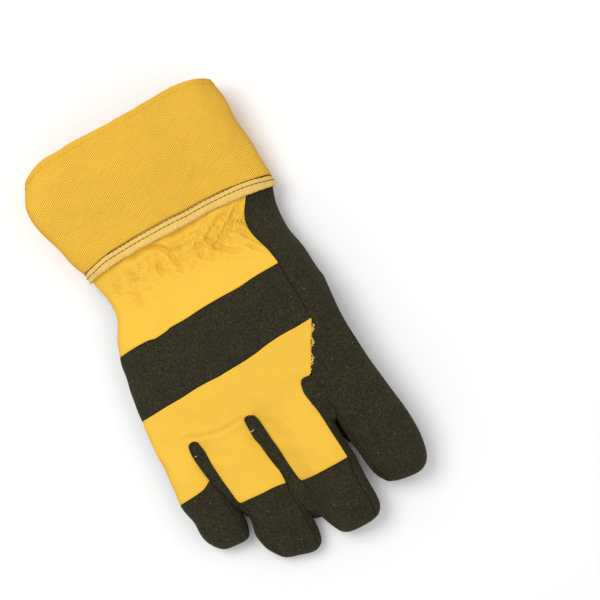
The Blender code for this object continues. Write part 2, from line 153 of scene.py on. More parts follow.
def read(elements: bpy.types.bpy_prop_collection, name: str, width: int = 1, kind: type = float) -> np.ndarray:
    """One property of all elements of a mesh, with a row each where it has several numbers."""
    flat = np.empty(len(elements) * width, dtype=kind)
    elements.foreach_get(name, flat)
    return flat.reshape(-1, width) if width > 1 else flat


def points_of(mesh: Mesh) -> np.ndarray:
    """The places of a mesh's vertices, one row each."""
    return read(mesh.vertices, "co", 3)


def set_points(mesh: Mesh, points: np.ndarray) -> None:
    """Moves a mesh's vertices to the rows of points."""
    mesh.vertices.foreach_set("co", points.ravel())
    mesh.update()


def mark(mesh: Mesh, name: str, values: np.ndarray, domain: str = "POINT") -> None:
    """Stores one number for each of a mesh's points or edges."""
    mesh.attributes.new(name, "FLOAT", domain).data.foreach_set("value", values)


def pick(*objects: Piece) -> None:
    """Selects these objects alone and makes the last one active."""
    bpy.ops.object.select_all(action="DESELECT")
    for obj in objects:
        obj.select_set(True)
    bpy.context.view_layer.objects.active = objects[-1]


def new_object(name: str, data: bpy.types.ID, place: Matrix = Matrix()) -> Piece:
    """A new object in the scene."""
    obj = bpy.data.objects.new(name, data)
    obj.matrix_world = place
    bpy.context.scene.collection.objects.link(obj)
    return obj


@contextmanager
def editing(obj: Piece) -> Iterator[None]:
    """Opens an object's mesh for editing, with all of it selected."""
    pick(obj)
    bpy.ops.object.mode_set(mode="EDIT")
    bpy.ops.mesh.select_all(action="SELECT")
    yield
    bpy.ops.object.mode_set(mode="OBJECT")


def round_off(obj: Piece, levels: int) -> None:
    """Rounds an object by subdivision, applies all its modifiers and shades it smooth."""
    rounding = obj.modifiers.new("round", "SUBSURF")
    rounding.levels = rounding.render_levels = levels
    pick(obj)
    for name in [modifier.name for modifier in obj.modifiers]:
        bpy.ops.object.modifier_apply(modifier=name)
    bpy.ops.object.shade_smooth()


def joined(objects: Sequence[Piece], name: str) -> Piece:
    """Joins objects into one at the origin, with its place in its mesh.

    Args:
        objects: what to join; they are used up.
        name: the new piece's name.

    Returns:
        The joined object.
    """
    pick(*objects)
    bpy.ops.object.transform_apply(location=True, rotation=True, scale=True)
    if len(objects) > 1:
        bpy.ops.object.join()
    piece = bpy.context.view_layer.objects.active
    piece.name = piece.data.name = name
    return piece


def placed_copy(original: Piece, place: Matrix) -> Piece:
    """A copy of an object with its own mesh, at a place."""
    return new_object(original.name, original.data.copy(), place)


def discard(obj: Piece) -> None:
    """Removes an object that was only a pattern for copies."""
    bpy.data.objects.remove(obj, do_unlink=True)


def axes_at(place: Vector, along: Vector, outward: Vector, size: float = 1.0) -> Matrix:
    """The placement whose X runs along a line and whose Z points out of a surface.

    Args:
        place: the origin.
        along: the wanted X direction.
        outward: the wanted Z direction; it is made square to X.
        size: the scale.

    Returns:
        The placement matrix.
    """
    x = along.normalized()
    y = outward.cross(x).normalized()
    z = x.cross(y)
    turn = Matrix((x, y, z)).transposed().to_4x4()
    return Matrix.Translation(place) @ turn @ Matrix.Scale(size, 4)


# ---------------------------------------------------------------- the shared shape


class Waves:
    """A smooth, repeatable bumpiness made of plane waves in seeded directions."""

    def __init__(self, seed: int, length: float, stretch: Sequence[float] = (1.0, 1.0, 1.0), count: int = 14) -> None:
        """Draws the waves.

        Args:
            seed: seed of the draw.
            length: the usual wavelength.
            stretch: how much longer the waves are along x, y and z.
            count: how many waves are summed.
        """
        rng = np.random.default_rng(seed)
        directions = unit(rng.normal(size=(count, 3)))
        pace = 2.0 * math.pi / (length * rng.uniform(0.7, 1.5, size=(count, 1)))
        self.turns = directions * pace / np.asarray(stretch)
        self.phases = rng.uniform(0.0, 2.0 * math.pi, size=count)
        self.scale = math.sqrt(2.0 / count)

    def at(self, points: np.ndarray) -> np.ndarray:
        """The bumpiness at each row of points, mostly from -2 to 2."""
        return np.sin(points @ self.turns.T + self.phases).sum(axis=1) * self.scale


@dataclass(frozen=True)
class Fold:
    """A crease or gather in the cloth, as a line seen from above.

    Attributes:
        line: points of the valley in millimetres.
        depth: depth of the valley in millimetres.
        width: half-width of the valley in millimetres.
        shoulder: height of the swell on both sides, as a share of the depth.
    """

    line: tuple[Point2, ...]
    depth: float
    width: float
    shoulder: float = 0.5

    reach = 3.5  # where the fold ends, in half-widths
    crest = 1.7  # where its shoulders stand, in half-widths

    def lift(self, x: np.ndarray, y: np.ndarray) -> np.ndarray:
        """How far the fold raises each point; negative in its valley."""
        path = smooth_line(self.line, 14)
        width = self.width * MM
        low, high = path.min(axis=0) - self.reach * width, path.max(axis=0) + self.reach * width
        near = (x > low[0]) & (x < high[0]) & (y > low[1]) & (y < high[1])
        lift = np.zeros(len(x))
        if not near.any():
            return lift
        here = np.column_stack([x[near], y[near]])
        square = ((here[:, None, :] - path[None, :, :]) ** 2).sum(axis=2)
        nearest = square.argmin(axis=1)
        d = np.sqrt(square[np.arange(len(here)), nearest]) / width
        share = nearest / (len(path) - 1)
        fade = np.sin(math.pi * np.clip(share, 0.02, 0.98)) ** 0.6
        valley = np.exp(-(d**2)) - self.shoulder * np.exp(-((d - self.crest) ** 2))
        lift[near] = -self.depth * MM * valley * fade
        return lift


def fine_folds(width: float, *lines: tuple[Point2, ...]) -> tuple[Fold, ...]:
    """Folds of the smallest depth, all of one half-width in millimetres."""
    return tuple(Fold(line, 0.62, width) for line in lines)


WRIST_FOLDS = (
    Fold(((-33.0, 57.5), (-29.8, 58.6), (-18.8, 59.6), (-12.0, 57.2), (-7.7, 51.7), (-1.4, 51.5), (5.3, 52.0)),
         1.21, 1.6),
    Fold(((-12.6, 60.7), (-2.8, 59.5), (9.3, 59.0), (18.8, 59.2)), 0.7, 1.6),
    Fold(((14.0, 49.4), (17.9, 51.6), (26.6, 55.8), (35.0, 61.0)), 1.21, 1.7),
    Fold(((14.5, 40.5), (19.0, 44.6), (26.8, 50.1), (35.2, 55.3), (41.6, 59.8)), 1.40, 1.8),
    Fold(((27.0, 49.0), (31.1, 44.6), (37.8, 34.6), (39.8, 29.4)), 1.31, 1.9),
    Fold(((13.0, 46.5), (16.4, 42.8), (22.6, 36.3), (32.6, 32.5)), 1.21, 1.8),
    Fold(((-8.5, 53.5), (-7.5, 50.7), (-6.7, 43.1), (-3.4, 35.7)), 0.86, 1.6),
    Fold(((-14.5, 53.5), (-15.4, 50.9), (-16.8, 45.3), (-12.8, 40.7)), 0.7, 1.6),
    Fold(((2.5, 47.5), (7.1, 47.8), (12.8, 47.9), (21.1, 49.9)), 0.94, 1.6),
    Fold(((3.0, 46.5), (6.3, 43.4), (11.5, 38.1), (18.8, 35.1)), 0.94, 1.8),
    Fold(((24.0, 43.0), (30.5, 38.0), (36.5, 28.0)), 0.7, 1.6),
    Fold(((33.0, 51.0), (37.0, 46.0), (40.5, 39.0)), 0.86, 1.5),
    *fine_folds(1.9, ((-24.0, 52.5), (-26.5, 45.0), (-25.0, 37.0))),
    Fold(((-34.0, 50.0), (-36.5, 41.0), (-38.0, 32.0)), 0.7, 2.2),
    *fine_folds(2.0, ((-41.0, 54.0), (-44.0, 46.0), (-45.5, 38.0))),
    *fine_folds(
        1.1,
        ((35.0, 62.3), (27.9, 55.4), (21.6, 49.9), (16.2, 47.1)),
        ((38.2, 60.0), (33.2, 54.8), (29.1, 49.2), (28.4, 41.7), (33.5, 34.5), (38.6, 27.3)),
        ((40.2, 57.8), (35.1, 52.7), (32.4, 48.0), (34.0, 41.6), (37.3, 35.3)),
        ((24.7, 49.3), (25.9, 39.1), (33.1, 33.6), (39.6, 27.0)),
        ((15.9, 45.6), (20.4, 39.3), (27.1, 35.1), (34.2, 29.4)),
        ((-30.3, 59.7), (-21.4, 61.7), (-15.0, 59.0), (-9.7, 54.3), (-7.7, 47.6), (-7.0, 40.5), (-4.9, 34.9)),
        ((-7.5, 60.4), (3.8, 60.5), (13.9, 60.7), (23.5, 61.7)),
        ((-2.8, 54.5), (5.4, 55.2), (12.9, 54.5), (18.9, 55.2)),
        ((-15.2, 53.3), (-17.2, 46.0), (-16.7, 40.1)),
        ((-8.2, 51.8), (-9.5, 44.1), (-6.6, 36.9)),
        ((7.7, 51.1), (5.8, 43.8), (8.7, 38.3)),
        ((15.4, 48.7), (15.8, 42.9), (12.0, 38.7)),
        ((13.7, 51.8), (13.1, 46.6), (9.0, 43.1)),
        ((2.9, 46.4), (1.9, 40.2), (-2.7, 35.9)),
        ((15.1, 37.7), (22.8, 31.3), (32.8, 24.8)),
        ((-26.8, 57.8), (-27.0, 51.2), (-31.1, 45.6)),
        ((-19.8, 57.4), (-20.8, 50.2), (-25.4, 43.6)),
    ),
    *fine_folds(
        1.2,
        ((-37.1, 48.5), (-29.9, 46.5), (-25.0, 41.5)),
        ((-37.6, 38.1), (-29.6, 40.1), (-22.2, 37.4)),
        ((-45.0, 44.0), (-39.0, 42.5), (-34.0, 38.0)),
    ),
)
HAND_FOLDS = (
    Fold(((-52.0, -43.0), (-48.1, -43.9), (-33.5, -48.5), (-21.6, -48.6), (-14.9, -47.8)), 0.55, 1.5, 0.35),
    Fold(((-9.6, -92.2), (-7.8, -99.5), (-5.4, -109.0), (-4.8, -116.2)), 1.0, 1.5, 0.5),
    Fold(((-46.0, -52.0), (-38.0, -60.0), (-30.0, -63.0)), 0.4, 2.6, 0.3),
    Fold(((-8.0, -54.0), (2.0, -60.0), (12.0, -61.0)), 0.4, 2.6, 0.3),
)


@dataclass(frozen=True)
class Push:
    """A place or a line where the outline or a seam is drawn sideways.

    Attributes:
        start: the line's first point, in millimetres.
        move: how far it goes along x and y, in millimetres.
        reach: how far around it the cloth follows, in millimetres.
        end: the line's last point, or None for a single place.
    """

    start: Point2
    move: Point2
    reach: float
    end: Point2 | None = None

    def shift(self, x: np.ndarray, y: np.ndarray) -> np.ndarray:
        """The sideways move at each place, one row each."""
        start = np.asarray(self.start)
        line = np.asarray(self.end or self.start) - start
        away = np.column_stack([x, y]) / MM - start
        along = np.clip(away @ line / max(line @ line, 1e-9), 0.0, 1.0)
        near = np.exp(-((away - along[:, None] * line) ** 2).sum(axis=1) / self.reach**2) * MM
        return np.column_stack([near * self.move[0], near * self.move[1], np.zeros(len(x))])


PUSHES = (
    Push((-48.4, 132.1), (0.16, -1.47), 10.0),  # the cuff's hem, left
    Push((-67.1, 104.3), (-1.99, 0.06), 12.0),  # its left side
    Push((59.3, 124.9), (-2.45, 1.31), 10.0),  # its hem's right corner
    Push((58.0, 103.6), (-1.85, 0.67), 12.0),  # its right side
    Push((59.1, 64.5), (2.97, -0.33), 10.0),  # the strip's right end
    Push((-55.2, 20.4), (-1.96, 1.05), 11.0),  # the wrist
    Push((-63.0, -8.2), (-1.54, 0.19), 12.0),  # the strap's left end
    Push((-65.8, -65.3), (-2.53, 0.22), 15.0),  # the little finger's side
    Push((-63.7, -96.7), (-2.24, -0.06), 9.0),  # its tip
    Push((-14.6, -128.6), (1.19, -1.9), 10.0),  # the ring finger's tip
    Push((24.5, -126.2), (2.14, -1.9), 11.0),  # the middle finger's tip
    Push((50.7, -115.0), (-0.35, -1.83), 12.0),  # the index finger's tip
    Push((37.0, -32.1), (2.71, -0.82), 8.0),  # the back cloth's corner by the strap
    Push((24.3, -44.2), (-1.32, 1.65), 6.5),  # the fork beside the index finger
    Push((-47.1, -72.3), (-0.98, 2.17), 4.5),  # the little finger's cloth, lower right corner
    Push((-66.7, -74.6), (-1.35, 0.53), 6.0),  # the same cloth, lower left corner
    Push((29.9, -37.1), (2.12, -1.45), 5.0),  # the back cloth's ragged edge, lower half
    Push((-42.8, -61.2), (-2.42, -0.16), 4.5, (-39.6, -86.9)),  # the ring finger's cloth, left edge
    Push((-13.9, -67.2), (1.97, 0.14), 4.2, (-12.1, -81.5)),  # its right edge, below the fork
    Push((-13.2, -87.2), (1.61, -0.99), 4.6, (-12.8, -91.1)),  # its lower right corner
    Push((21.7, -64.2), (2.14, 0.11), 4.4, (24.1, -96.4)),  # the middle finger's cloth, right edge
    Push((-67.7, -80.7), (-2.06, 0.16), 6.5),  # the little finger's tip, outer side
    Push((-37.5, -118.3), (-2.26, 0.01), 6.5),  # the ring finger's tip, lower left
    Push((43.2, -17.1), (1.64, -0.12), 4.0, (40.0, -23.0)),  # the back cloth's upper corner by the index finger
    Push((27.1, -41.3), (1.99, -1.7), 3.6),  # its lower corner, beside the index finger
    Push((-8.7, -59.9), (-1.45, -0.11), 3.8, (-4.6, -91.1)),  # the middle finger's cloth, left edge
    Push((-11.9, -45.9), (-0.32, -2.48), 3.6),  # the top of the fork between the ring and middle fingers
    Push((35.5, -33.8), (1.27, -0.68), 4.0),  # the ragged edge, halfway down
    Push((27.4, -43.0), (1.12, -0.98), 2.6),  # the very corner
    Push((-51.8, 64.6), (0.0, -0.82), 4.0, (61.8, 63.7)),  # the seam between the cuff and its strip
    Push((-32.0, 133.5), (0.0, -3.5), 10.0, (8.0, 133.5)),  # the cuff's hem, middle
    Push((24.0, 133.5), (0.0, -2.0), 10.0),  # its hem, right of the middle
    Push((-57.0, 73.0), (-1.9, -0.7), 9.0),  # the cuff's lower left side
    Push((-61.2, 124.6), (0.7, -0.4), 5.0),  # the cuff's upper left corner
    Push((-65.5, 112.4), (-1.2, 0.1), 6.5),  # its left side below that
    Push((-60.0, 9.0), (-1.2, 0.0), 6.0),  # the strap's upper left end
    Push((-65.0, -20.0), (-1.5, 0.1), 8.0, (-66.0, -44.0)),  # the hand's outer side
    Push((-37.0, 14.0), (0.0, -1.3), 3.2, (-31.2, 13.6)),  # the step in the strap's upper edge
    Push((-38.5, -109.4), (-2.4, -0.3), 6.0),  # the ring finger's tip, left side
    Push((-48.0, -106.5), (1.7, -1.2), 5.5),  # the little finger's tip, lower right
    Push((-16.0, -127.5), (0.5, -0.9), 6.0),  # the ring finger's tip, lower right
    Push((-18.5, -130.0), (0.4, -1.3), 5.5),  # the ring finger's very tip
    Push((57.0, -117.5), (0.9, -1.5), 7.0),  # the index finger's tip, lower right
    Push((7.0, -129.5), (0.0, -1.0), 7.0),  # the middle finger's tip, lower left
    Push((-14.0, -22.5), (0.0, -0.8), 5.5, (8.0, -20.5)),  # the strap's lower edge
)


class Ground:
    """The outside of some pieces, for casting rays on."""

    def __init__(self, pieces: Iterable[Piece]) -> None:
        """Puts the pieces' corners and faces into one search tree.

        Args:
            pieces: the pieces, with their places in their meshes.
        """
        corners: list[Vector] = []
        faces: list[list[int]] = []
        for piece in pieces:
            start = len(corners)
            corners.extend(v.co.copy() for v in piece.data.vertices)
            faces.extend([start + i for i in p.vertices] for p in piece.data.polygons)
        self.tree = BVHTree.FromPolygons(corners, faces)

    def hit(self, start: Vector, way: Vector) -> Hit | None:
        """Where a ray meets the pieces first, or None."""
        place, normal, _, _ = self.tree.ray_cast(start, way)
        return None if place is None else (place, normal)

    def top(self, x: float, y: float) -> Hit | None:
        """The highest point at a place, or None beside the pieces."""
        return self.hit(Vector((x, y, SKY)), DOWN)


class TopSurface:
    """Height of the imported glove's upper surface over the floor, smoothed."""

    margin = 0.02  # how far the grid goes past the glove

    def __init__(self, step: float = 0.002, passes: int = 8) -> None:
        """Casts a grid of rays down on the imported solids.

        Args:
            step: the grid's pitch.
            passes: how often the heights are averaged with their neighbours.
        """
        ground = Ground(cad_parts.values())
        low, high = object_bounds()
        self.low = np.array([low.x, low.y]) - self.margin
        self.step = step
        count = np.ceil((np.array([high.x, high.y]) + self.margin - self.low) / step).astype(int) + 1
        heights, hits = np.zeros(count), np.zeros(count)
        for i, j in np.ndindex(*count):
            found = ground.top(self.low[0] + i * step, self.low[1] + j * step)
            if found is not None:
                heights[i, j], hits[i, j] = found[0].z, 1.0
        for _ in range(passes):
            total, weight = self.spread(heights * hits), self.spread(hits)
            reached = weight > 0
            heights = np.where(reached, total / np.maximum(weight, 1e-9), heights)
            hits = np.where(reached, 1.0, hits)
        self.heights = np.where(hits > 0, heights, heights[hits > 0].mean())

    @staticmethod
    def spread(grid: np.ndarray) -> np.ndarray:
        """Each cell summed with its eight neighbours."""
        wide = np.pad(grid, 1)
        return sum(wide[i:i + grid.shape[0], j:j + grid.shape[1]] for i in range(3) for j in range(3))

    def height(self, x: np.ndarray, y: np.ndarray) -> np.ndarray:
        """Smoothed height of the upper surface at each place."""
        at = (np.column_stack([x, y]) - self.low) / self.step
        cell = np.clip(np.floor(at).astype(int), 0, np.array(self.heights.shape) - 2)
        u, v = np.clip(at - cell, 0.0, 1.0).T
        i, j = cell.T
        h = self.heights
        return ((h[i, j] * (1 - u) + h[i + 1, j] * u) * (1 - v)
                + (h[i, j + 1] * (1 - u) + h[i + 1, j + 1] * u) * v)


@dataclass
class Drape:
    """The one smooth displacement that every piece of the glove shares.

    It depends on the place alone, so two panels that meet at a seam move together.

    Attributes:
        top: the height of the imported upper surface.
        swell: height of the slow bumps in the back.
        lump: height of the finger-sized bumps.
        crumple: height of the small wrinkles in the gathered wrist.
        wander: how far walls and outlines wander sideways.
        deepest: depth that crossing folds don't pass.
        floor_fade: height over the floor below which nothing moves.
        gather_y: the middle of the gathered band, along y.
        gather_width: the band's half-width.
        slack_x: where the gathers go from half strength to full strength, along x.
        wrist_y: where the wrist's wrinkles begin and end, two places each, along y.
        cuff_y: where the stiffer cuff begins, along y.
        thin: height that counts as the least height of the glove.
    """

    top: TopSurface
    swell: float = 0.55 * MM
    lump: float = 0.16 * MM
    crumple: float = 0.26 * MM
    wander: float = 0.22 * MM
    deepest: float = 1.3 * MM
    floor_fade: float = 6.0 * MM
    gather_y: float = 49.0 * MM
    gather_width: float = 8.5 * MM
    slack_x: tuple[float, float] = (-16.0 * MM, 14.0 * MM)
    wrist_y: tuple[float, ...] = (26.0 * MM, 36.0 * MM, 60.0 * MM, 66.0 * MM)
    cuff_y: tuple[float, float] = (62.0 * MM, 72.0 * MM)
    thin: float = 5.0 * MM
    folds: tuple[Fold, ...] = WRIST_FOLDS + HAND_FOLDS
    pushes: tuple[Push, ...] = PUSHES

    def __post_init__(self) -> None:
        """Draws the waves."""
        self.swell_waves = Waves(3, 0.045)
        self.lump_waves = Waves(5, 0.014)
        self.crumple_waves = Waves(8, 0.0062, (1.0, 1.9, 1.0))
        self.wander_waves = [Waves(20 + axis, 0.022) for axis in range(3)]

    def upper(self, points: np.ndarray, low: float) -> np.ndarray:
        """1 on the upper side of the glove, and 0 under a share of the height there."""
        x, y, z = points.T
        return smooth_step(low, 0.8, z / np.maximum(self.top.height(x, y), self.thin))

    def gather(self, points: np.ndarray) -> np.ndarray:
        """How strongly the cloth is drawn together at each row of points, from 0 to 1."""
        x, y, _ = points.T
        band = np.exp(-((y - self.gather_y) / self.gather_width) ** 2)
        return band * self.upper(points, 0.4) * (0.5 + 0.5 * smooth_step(*self.slack_x, x))

    def shift(self, points: np.ndarray) -> tuple[np.ndarray, np.ndarray]:
        """The displacement at each row of points.

        Args:
            points: the places.

        Returns:
            The displacement of each point, and the height of the folds alone there.
        """
        x, y, z = points.T
        upper = self.upper(points, 0.35)
        wrist = smooth_step(*self.wrist_y[:2], y) * (1.0 - smooth_step(*self.wrist_y[2:], y))
        folds = sum(fold.lift(x, y) for fold in self.folds)
        folds = self.deepest * np.tanh(folds / self.deepest)
        crumple = self.crumple * wrist * self.crumple_waves.at(points)
        lift = (folds + crumple + self.swell * self.swell_waves.at(points)
                + self.lump * (1.0 - 0.7 * smooth_step(*self.cuff_y, y)) * self.lump_waves.at(points))
        clear = smooth_step(0.4 * MM, self.floor_fade, z)
        move = np.column_stack([waves.at(points) for waves in self.wander_waves]) * self.wander * clear[:, None]
        move[:, 2] = move[:, 2] * 0.5 + upper * lift
        move += sum(push.shift(x, y) for push in self.pushes)
        return move, (folds + crumple) * upper


# ---------------------------------------------------------------- shader nodes


class Desk:
    """Adds and joins the nodes of one shader tree."""

    def __init__(self, tree: bpy.types.NodeTree) -> None:
        """Keeps the tree."""
        self.tree = tree

    def add(self, kind: str, **settings: object) -> bpy.types.Node:
        """A new node with some of its settings."""
        node = self.tree.nodes.new(kind)
        for name, value in settings.items():
            setattr(node, name, value)
        return node

    def feed(self, socket: Socket, value: object) -> None:
        """Joins a socket to another, or sets it to a plain value."""
        if isinstance(value, Socket):
            self.tree.links.new(value, socket)
        else:
            socket.default_value = value

    def fill(self, node: bpy.types.Node, values: dict[str | int, object]) -> Outputs:
        """Feeds a node's inputs by name or number, and returns its outputs."""
        for name, value in values.items():
            self.feed(node.inputs[name], value)
        return node.outputs

    def math(self, operation: str, *values: object, clamp: bool = False) -> Socket:
        """The result of a Math node."""
        node = self.add("ShaderNodeMath", operation=operation, use_clamp=clamp)
        return self.fill(node, dict(enumerate(values)))[0]

    def times(self, first: object, second: object) -> Socket:
        """The product of two values."""
        return self.math("MULTIPLY", first, second)

    def wave(self, turns: Socket) -> Socket:
        """A sine of 0 to 1 that repeats with every whole turn."""
        return self.math("MULTIPLY_ADD", self.math("SINE", self.times(turns, 2 * math.pi)), 0.5, 0.5)

    def pushed(self, vector: Socket, amount: Socket, way: Sequence[float]) -> Socket:
        """A vector moved by an amount of a fixed way."""
        node = self.add("ShaderNodeVectorMath", operation="MULTIPLY_ADD")
        return self.fill(node, {0: amount, 1: way, 2: vector})[0]

    def mix(self, factor: object, first: object, second: object) -> Socket:
        """The result of mixing two colours."""
        node = self.add("ShaderNodeMix", data_type="RGBA")
        return self.fill(node, {"Factor": factor, 6: first, 7: second})[2]

    def stained_or_shaded(self, color: Socket, stain_or_shade: Color, mask: Socket, share: float) -> Socket:
        """A colour that goes by a share towards another one inside a mask, for real stains and for painted shade."""
        return self.mix(self.times(mask, share), color, stain_or_shade)

    def spread(self, value: object, low: float, high: float, to_low: float = 0.0, to_high: float = 1.0) -> Socket:
        """A value moved smoothly from one range to another and held inside it."""
        node = self.add("ShaderNodeMapRange", interpolation_type="SMOOTHSTEP")
        return self.fill(node, dict(enumerate((value, low, high, to_low, to_high))))[0]

    def noise(self, vector: object, scale: object, detail: float = 2.0, rough: float = 0.5,
              output: str = "Fac") -> Socket:
        """The value or the colour of a noise texture."""
        node = self.add("ShaderNodeTexNoise")
        return self.fill(node, {"Vector": vector, "Scale": scale, "Detail": detail, "Roughness": rough})[output]

    def cells(self, vector: object, scale: object) -> Socket:
        """The distance from the nearest of many scattered points."""
        return self.fill(self.add("ShaderNodeTexVoronoi"), {"Vector": vector, "Scale": scale})["Distance"]

    def turned(self, vector: object, angle: float = 0.0, scale: Sequence[float] = (1.0, 1.0, 1.0)) -> Socket:
        """A vector turned about Z by degrees and scaled."""
        turn = (0.0, 0.0, math.radians(angle))
        return self.fill(self.add("ShaderNodeMapping"), {"Vector": vector, "Rotation": turn, "Scale": scale})[0]

    def bump(self, height: Socket, strength: float, distance: float, under: Socket | None = None,
             invert: bool = False) -> Socket:
        """The normal of a height, over another bump's normal if one is given."""
        values = {"Height": height, "Strength": strength, "Distance": distance}
        return self.fill(self.add("ShaderNodeBump", invert=invert),
                         values if under is None else {**values, "Normal": under})[0]

    def place(self) -> Socket:
        """The piece's Object coordinates."""
        return self.add("ShaderNodeTexCoord").outputs["Object"]

    def attribute(self, name: str) -> Socket:
        """The piece's own attribute of that name, as a number."""
        return self.add("ShaderNodeAttribute", attribute_name=name).outputs["Fac"]


class Effect:
    """A shader node group that several finishes share. Each takes a vector.

    Attributes:
        name: the group's name.
        inputs: its other inputs, with the numbers they start from.
        outputs: its outputs, all numbers.
    """

    name = "effect"
    inputs: dict[str, float] = {}
    outputs: tuple[str, ...] = ()

    @classmethod
    def tree(cls) -> bpy.types.NodeTree:
        """The group's node tree, built on first use."""
        found = bpy.data.node_groups.get(cls.name)
        if found is not None:
            return found
        tree = bpy.data.node_groups.new(cls.name, "ShaderNodeTree")
        tree.interface.new_socket(name="Vector", in_out="INPUT", socket_type="NodeSocketVector")
        for name, value in cls.inputs.items():
            socket = tree.interface.new_socket(name=name, in_out="INPUT", socket_type="NodeSocketFloat")
            socket.default_value = value
        for name in cls.outputs:
            tree.interface.new_socket(name=name, in_out="OUTPUT", socket_type="NodeSocketFloat")
        desk = Desk(tree)
        given = desk.add("NodeGroupInput").outputs
        desk.fill(desk.add("NodeGroupOutput"), dict(enumerate(cls.build(desk, given))))
        return tree

    @classmethod
    def build(cls, desk: Desk, given: Outputs) -> tuple[Socket, ...]:
        """Builds the inside of the group and returns what feeds its outputs."""
        raise NotImplementedError

    @classmethod
    def use(cls, desk: Desk, **values: object) -> Outputs:
        """Places the group in a material with its own values, and returns its outputs."""
        return desk.fill(desk.add("ShaderNodeGroup", node_tree=cls.tree()),
                         {name.capitalize(): value for name, value in values.items()})


class TwillWeave(Effect):
    """Diagonal ribs crossed by single yarns. The ribs run along the vector's Y."""

    name = "twill_weave"
    inputs = {"Pitch": 0.001, "Yarn": 0.0007, "Crossing": 0.4}
    outputs = ("Height", "Yarn Tone")

    @classmethod
    def build(cls, desk: Desk, given: Outputs) -> tuple[Socket, ...]:
        """Two crossed waves, a little uneven, as yarn is."""
        uneven = desk.noise(given["Vector"], 420.0)
        parts = desk.fill(desk.add("ShaderNodeSeparateXYZ"), {0: given["Vector"]})
        across = desk.math("ADD", desk.math("DIVIDE", parts["X"], given["Pitch"]), desk.times(uneven, 0.75))
        along = desk.math("ADD", desk.math("DIVIDE", parts["Y"], given["Yarn"]),
                          desk.times(desk.math("FLOOR", across), 0.5))
        rib = desk.wave(across)
        crossed = desk.times(desk.times(rib, desk.wave(along)), given["Crossing"])
        plain = desk.times(rib, desk.math("SUBTRACT", 1.0, given["Crossing"]))
        slub = desk.noise(desk.turned(given["Vector"], 0.0, (1.0, 0.12, 1.0)), 900.0)
        return desk.math("ADD", crossed, plain), desk.spread(slub, 0.3, 0.7)


class Mottle(Effect):
    """Soft uneven patches, large and small, as in worn or dyed goods."""

    name = "mottle"
    inputs = {"Size": 0.02}
    outputs = ("Mask",)

    @classmethod
    def build(cls, desk: Desk, given: Outputs) -> tuple[Socket, ...]:
        """Two noises of different sizes, added."""
        pace = desk.math("DIVIDE", 1.0, given["Size"])
        large = desk.noise(given["Vector"], pace, 3.0)
        small = desk.noise(given["Vector"], desk.times(pace, 5.3))
        both = desk.math("MULTIPLY_ADD", small, 0.4, desk.times(large, 0.6))
        return (desk.spread(both, 0.34, 0.66),)


class Gathers(Effect):
    """Fine puckers where the cloth is drawn together, running along the vector's Y."""

    name = "gathers"
    inputs = {"Mask": 0.0}
    outputs = ("Height", "Line")
    ridges = ((24.0, 380.0, 0.6), (-16.0, 640.0, 0.4))  # turn in degrees, noise scale and weight of each size
    widths = (0.3, 0.12)  # of the ridges and of the painted crease shade along their crests

    @classmethod
    def build(cls, desk: Desk, given: Outputs) -> tuple[Socket, ...]:
        """Sharp-crested ridges of two sizes inside the mask, and thin lines along their crests, which the cloth's
        inverted bump turns into valleys and paints as shade.
        """
        folds = []
        for turn, pace, weight in cls.ridges:
            noise = desk.noise(desk.turned(given["Vector"], turn, (1.0, 0.34, 1.0)), pace, 1.0)
            folds.append((desk.math("ABSOLUTE", desk.math("MULTIPLY_ADD", noise, 2.0, -1.0)), weight))
        results = []
        for width in cls.widths:
            pair = [desk.times(desk.spread(fold, 0.0, width, 1.0, 0.0), weight) for fold, weight in folds]
            results.append(desk.times(desk.math("ADD", *pair), given["Mask"]))
        return tuple(results)


class SuedeNap(Effect):
    """The brushed nap of split leather: short fibres, pores and stroked patches."""

    name = "suede_nap"
    inputs = {"Grain": 0.0009}
    outputs = ("Height", "Fibre", "Fleck")

    @classmethod
    def build(cls, desk: Desk, given: Outputs) -> tuple[Socket, ...]:
        """Fine noise for the fibres, cells for the pores, and rare light flecks."""
        pace = desk.math("DIVIDE", 1.0, given["Grain"])
        bent = desk.pushed(given["Vector"], desk.noise(given["Vector"], 260.0, output="Color"), (0.0025,) * 3)
        fibre = desk.noise(bent, pace, 4.0, 0.68)
        hollow = desk.spread(desk.cells(bent, desk.times(pace, 0.9)), 0.05, 0.5)
        height = desk.math("MULTIPLY_ADD", hollow, 0.45, desk.times(fibre, 0.9))
        rare = desk.spread(desk.noise(given["Vector"], 370.0, 0.0), 0.66, 0.74)
        fleck = desk.times(desk.spread(desk.cells(given["Vector"], 420.0), 0.26, 0.14), rare)
        return height, desk.spread(fibre, 0.36, 0.64), fleck


class SeamShade(Effect):
    """Painted shade along a panel's seams, broken up by noise."""

    name = "seam_shade"
    inputs = {"Seam": 0.0}
    outputs = ("Mask",)

    @classmethod
    def build(cls, desk: Desk, given: Outputs) -> tuple[Socket, ...]:
        """The nearness of the seam, times uneven patches."""
        patches = desk.spread(desk.noise(given["Vector"], 300.0, 3.0), 0.3, 0.65, 0.35, 1.0)
        return (desk.math("MULTIPLY", given["Seam"], patches, clamp=True),)


def surface(name: str) -> tuple[bpy.types.Material, Desk, bpy.types.Node]:
    """A new material with its desk and its Principled shader."""
    material = bpy.data.materials.new(name)
    material.use_nodes = True
    return material, Desk(material.node_tree), material.node_tree.nodes["Principled BSDF"]


@dataclass(frozen=True)
class Finish:
    """What a piece is made of, as a material that is built once.

    Attributes:
        name: the material's name.
        light: colour of the crests or the brushed fibres.
        deep: colour of the hollows between them, and the colour that painted shade goes towards.
    """

    name: str
    light: Color
    deep: Color

    def material(self) -> bpy.types.Material:
        """The finish as a material, built on first use."""
        found = bpy.data.materials.get(self.name)
        if found is None:
            found, desk, shader = surface(self.name)
            desk.fill(shader, self.sockets(desk))
        return found

    def sockets(self, desk: Desk) -> dict[str, object]:
        """Builds the nodes and returns what feeds the shader."""
        raise NotImplementedError


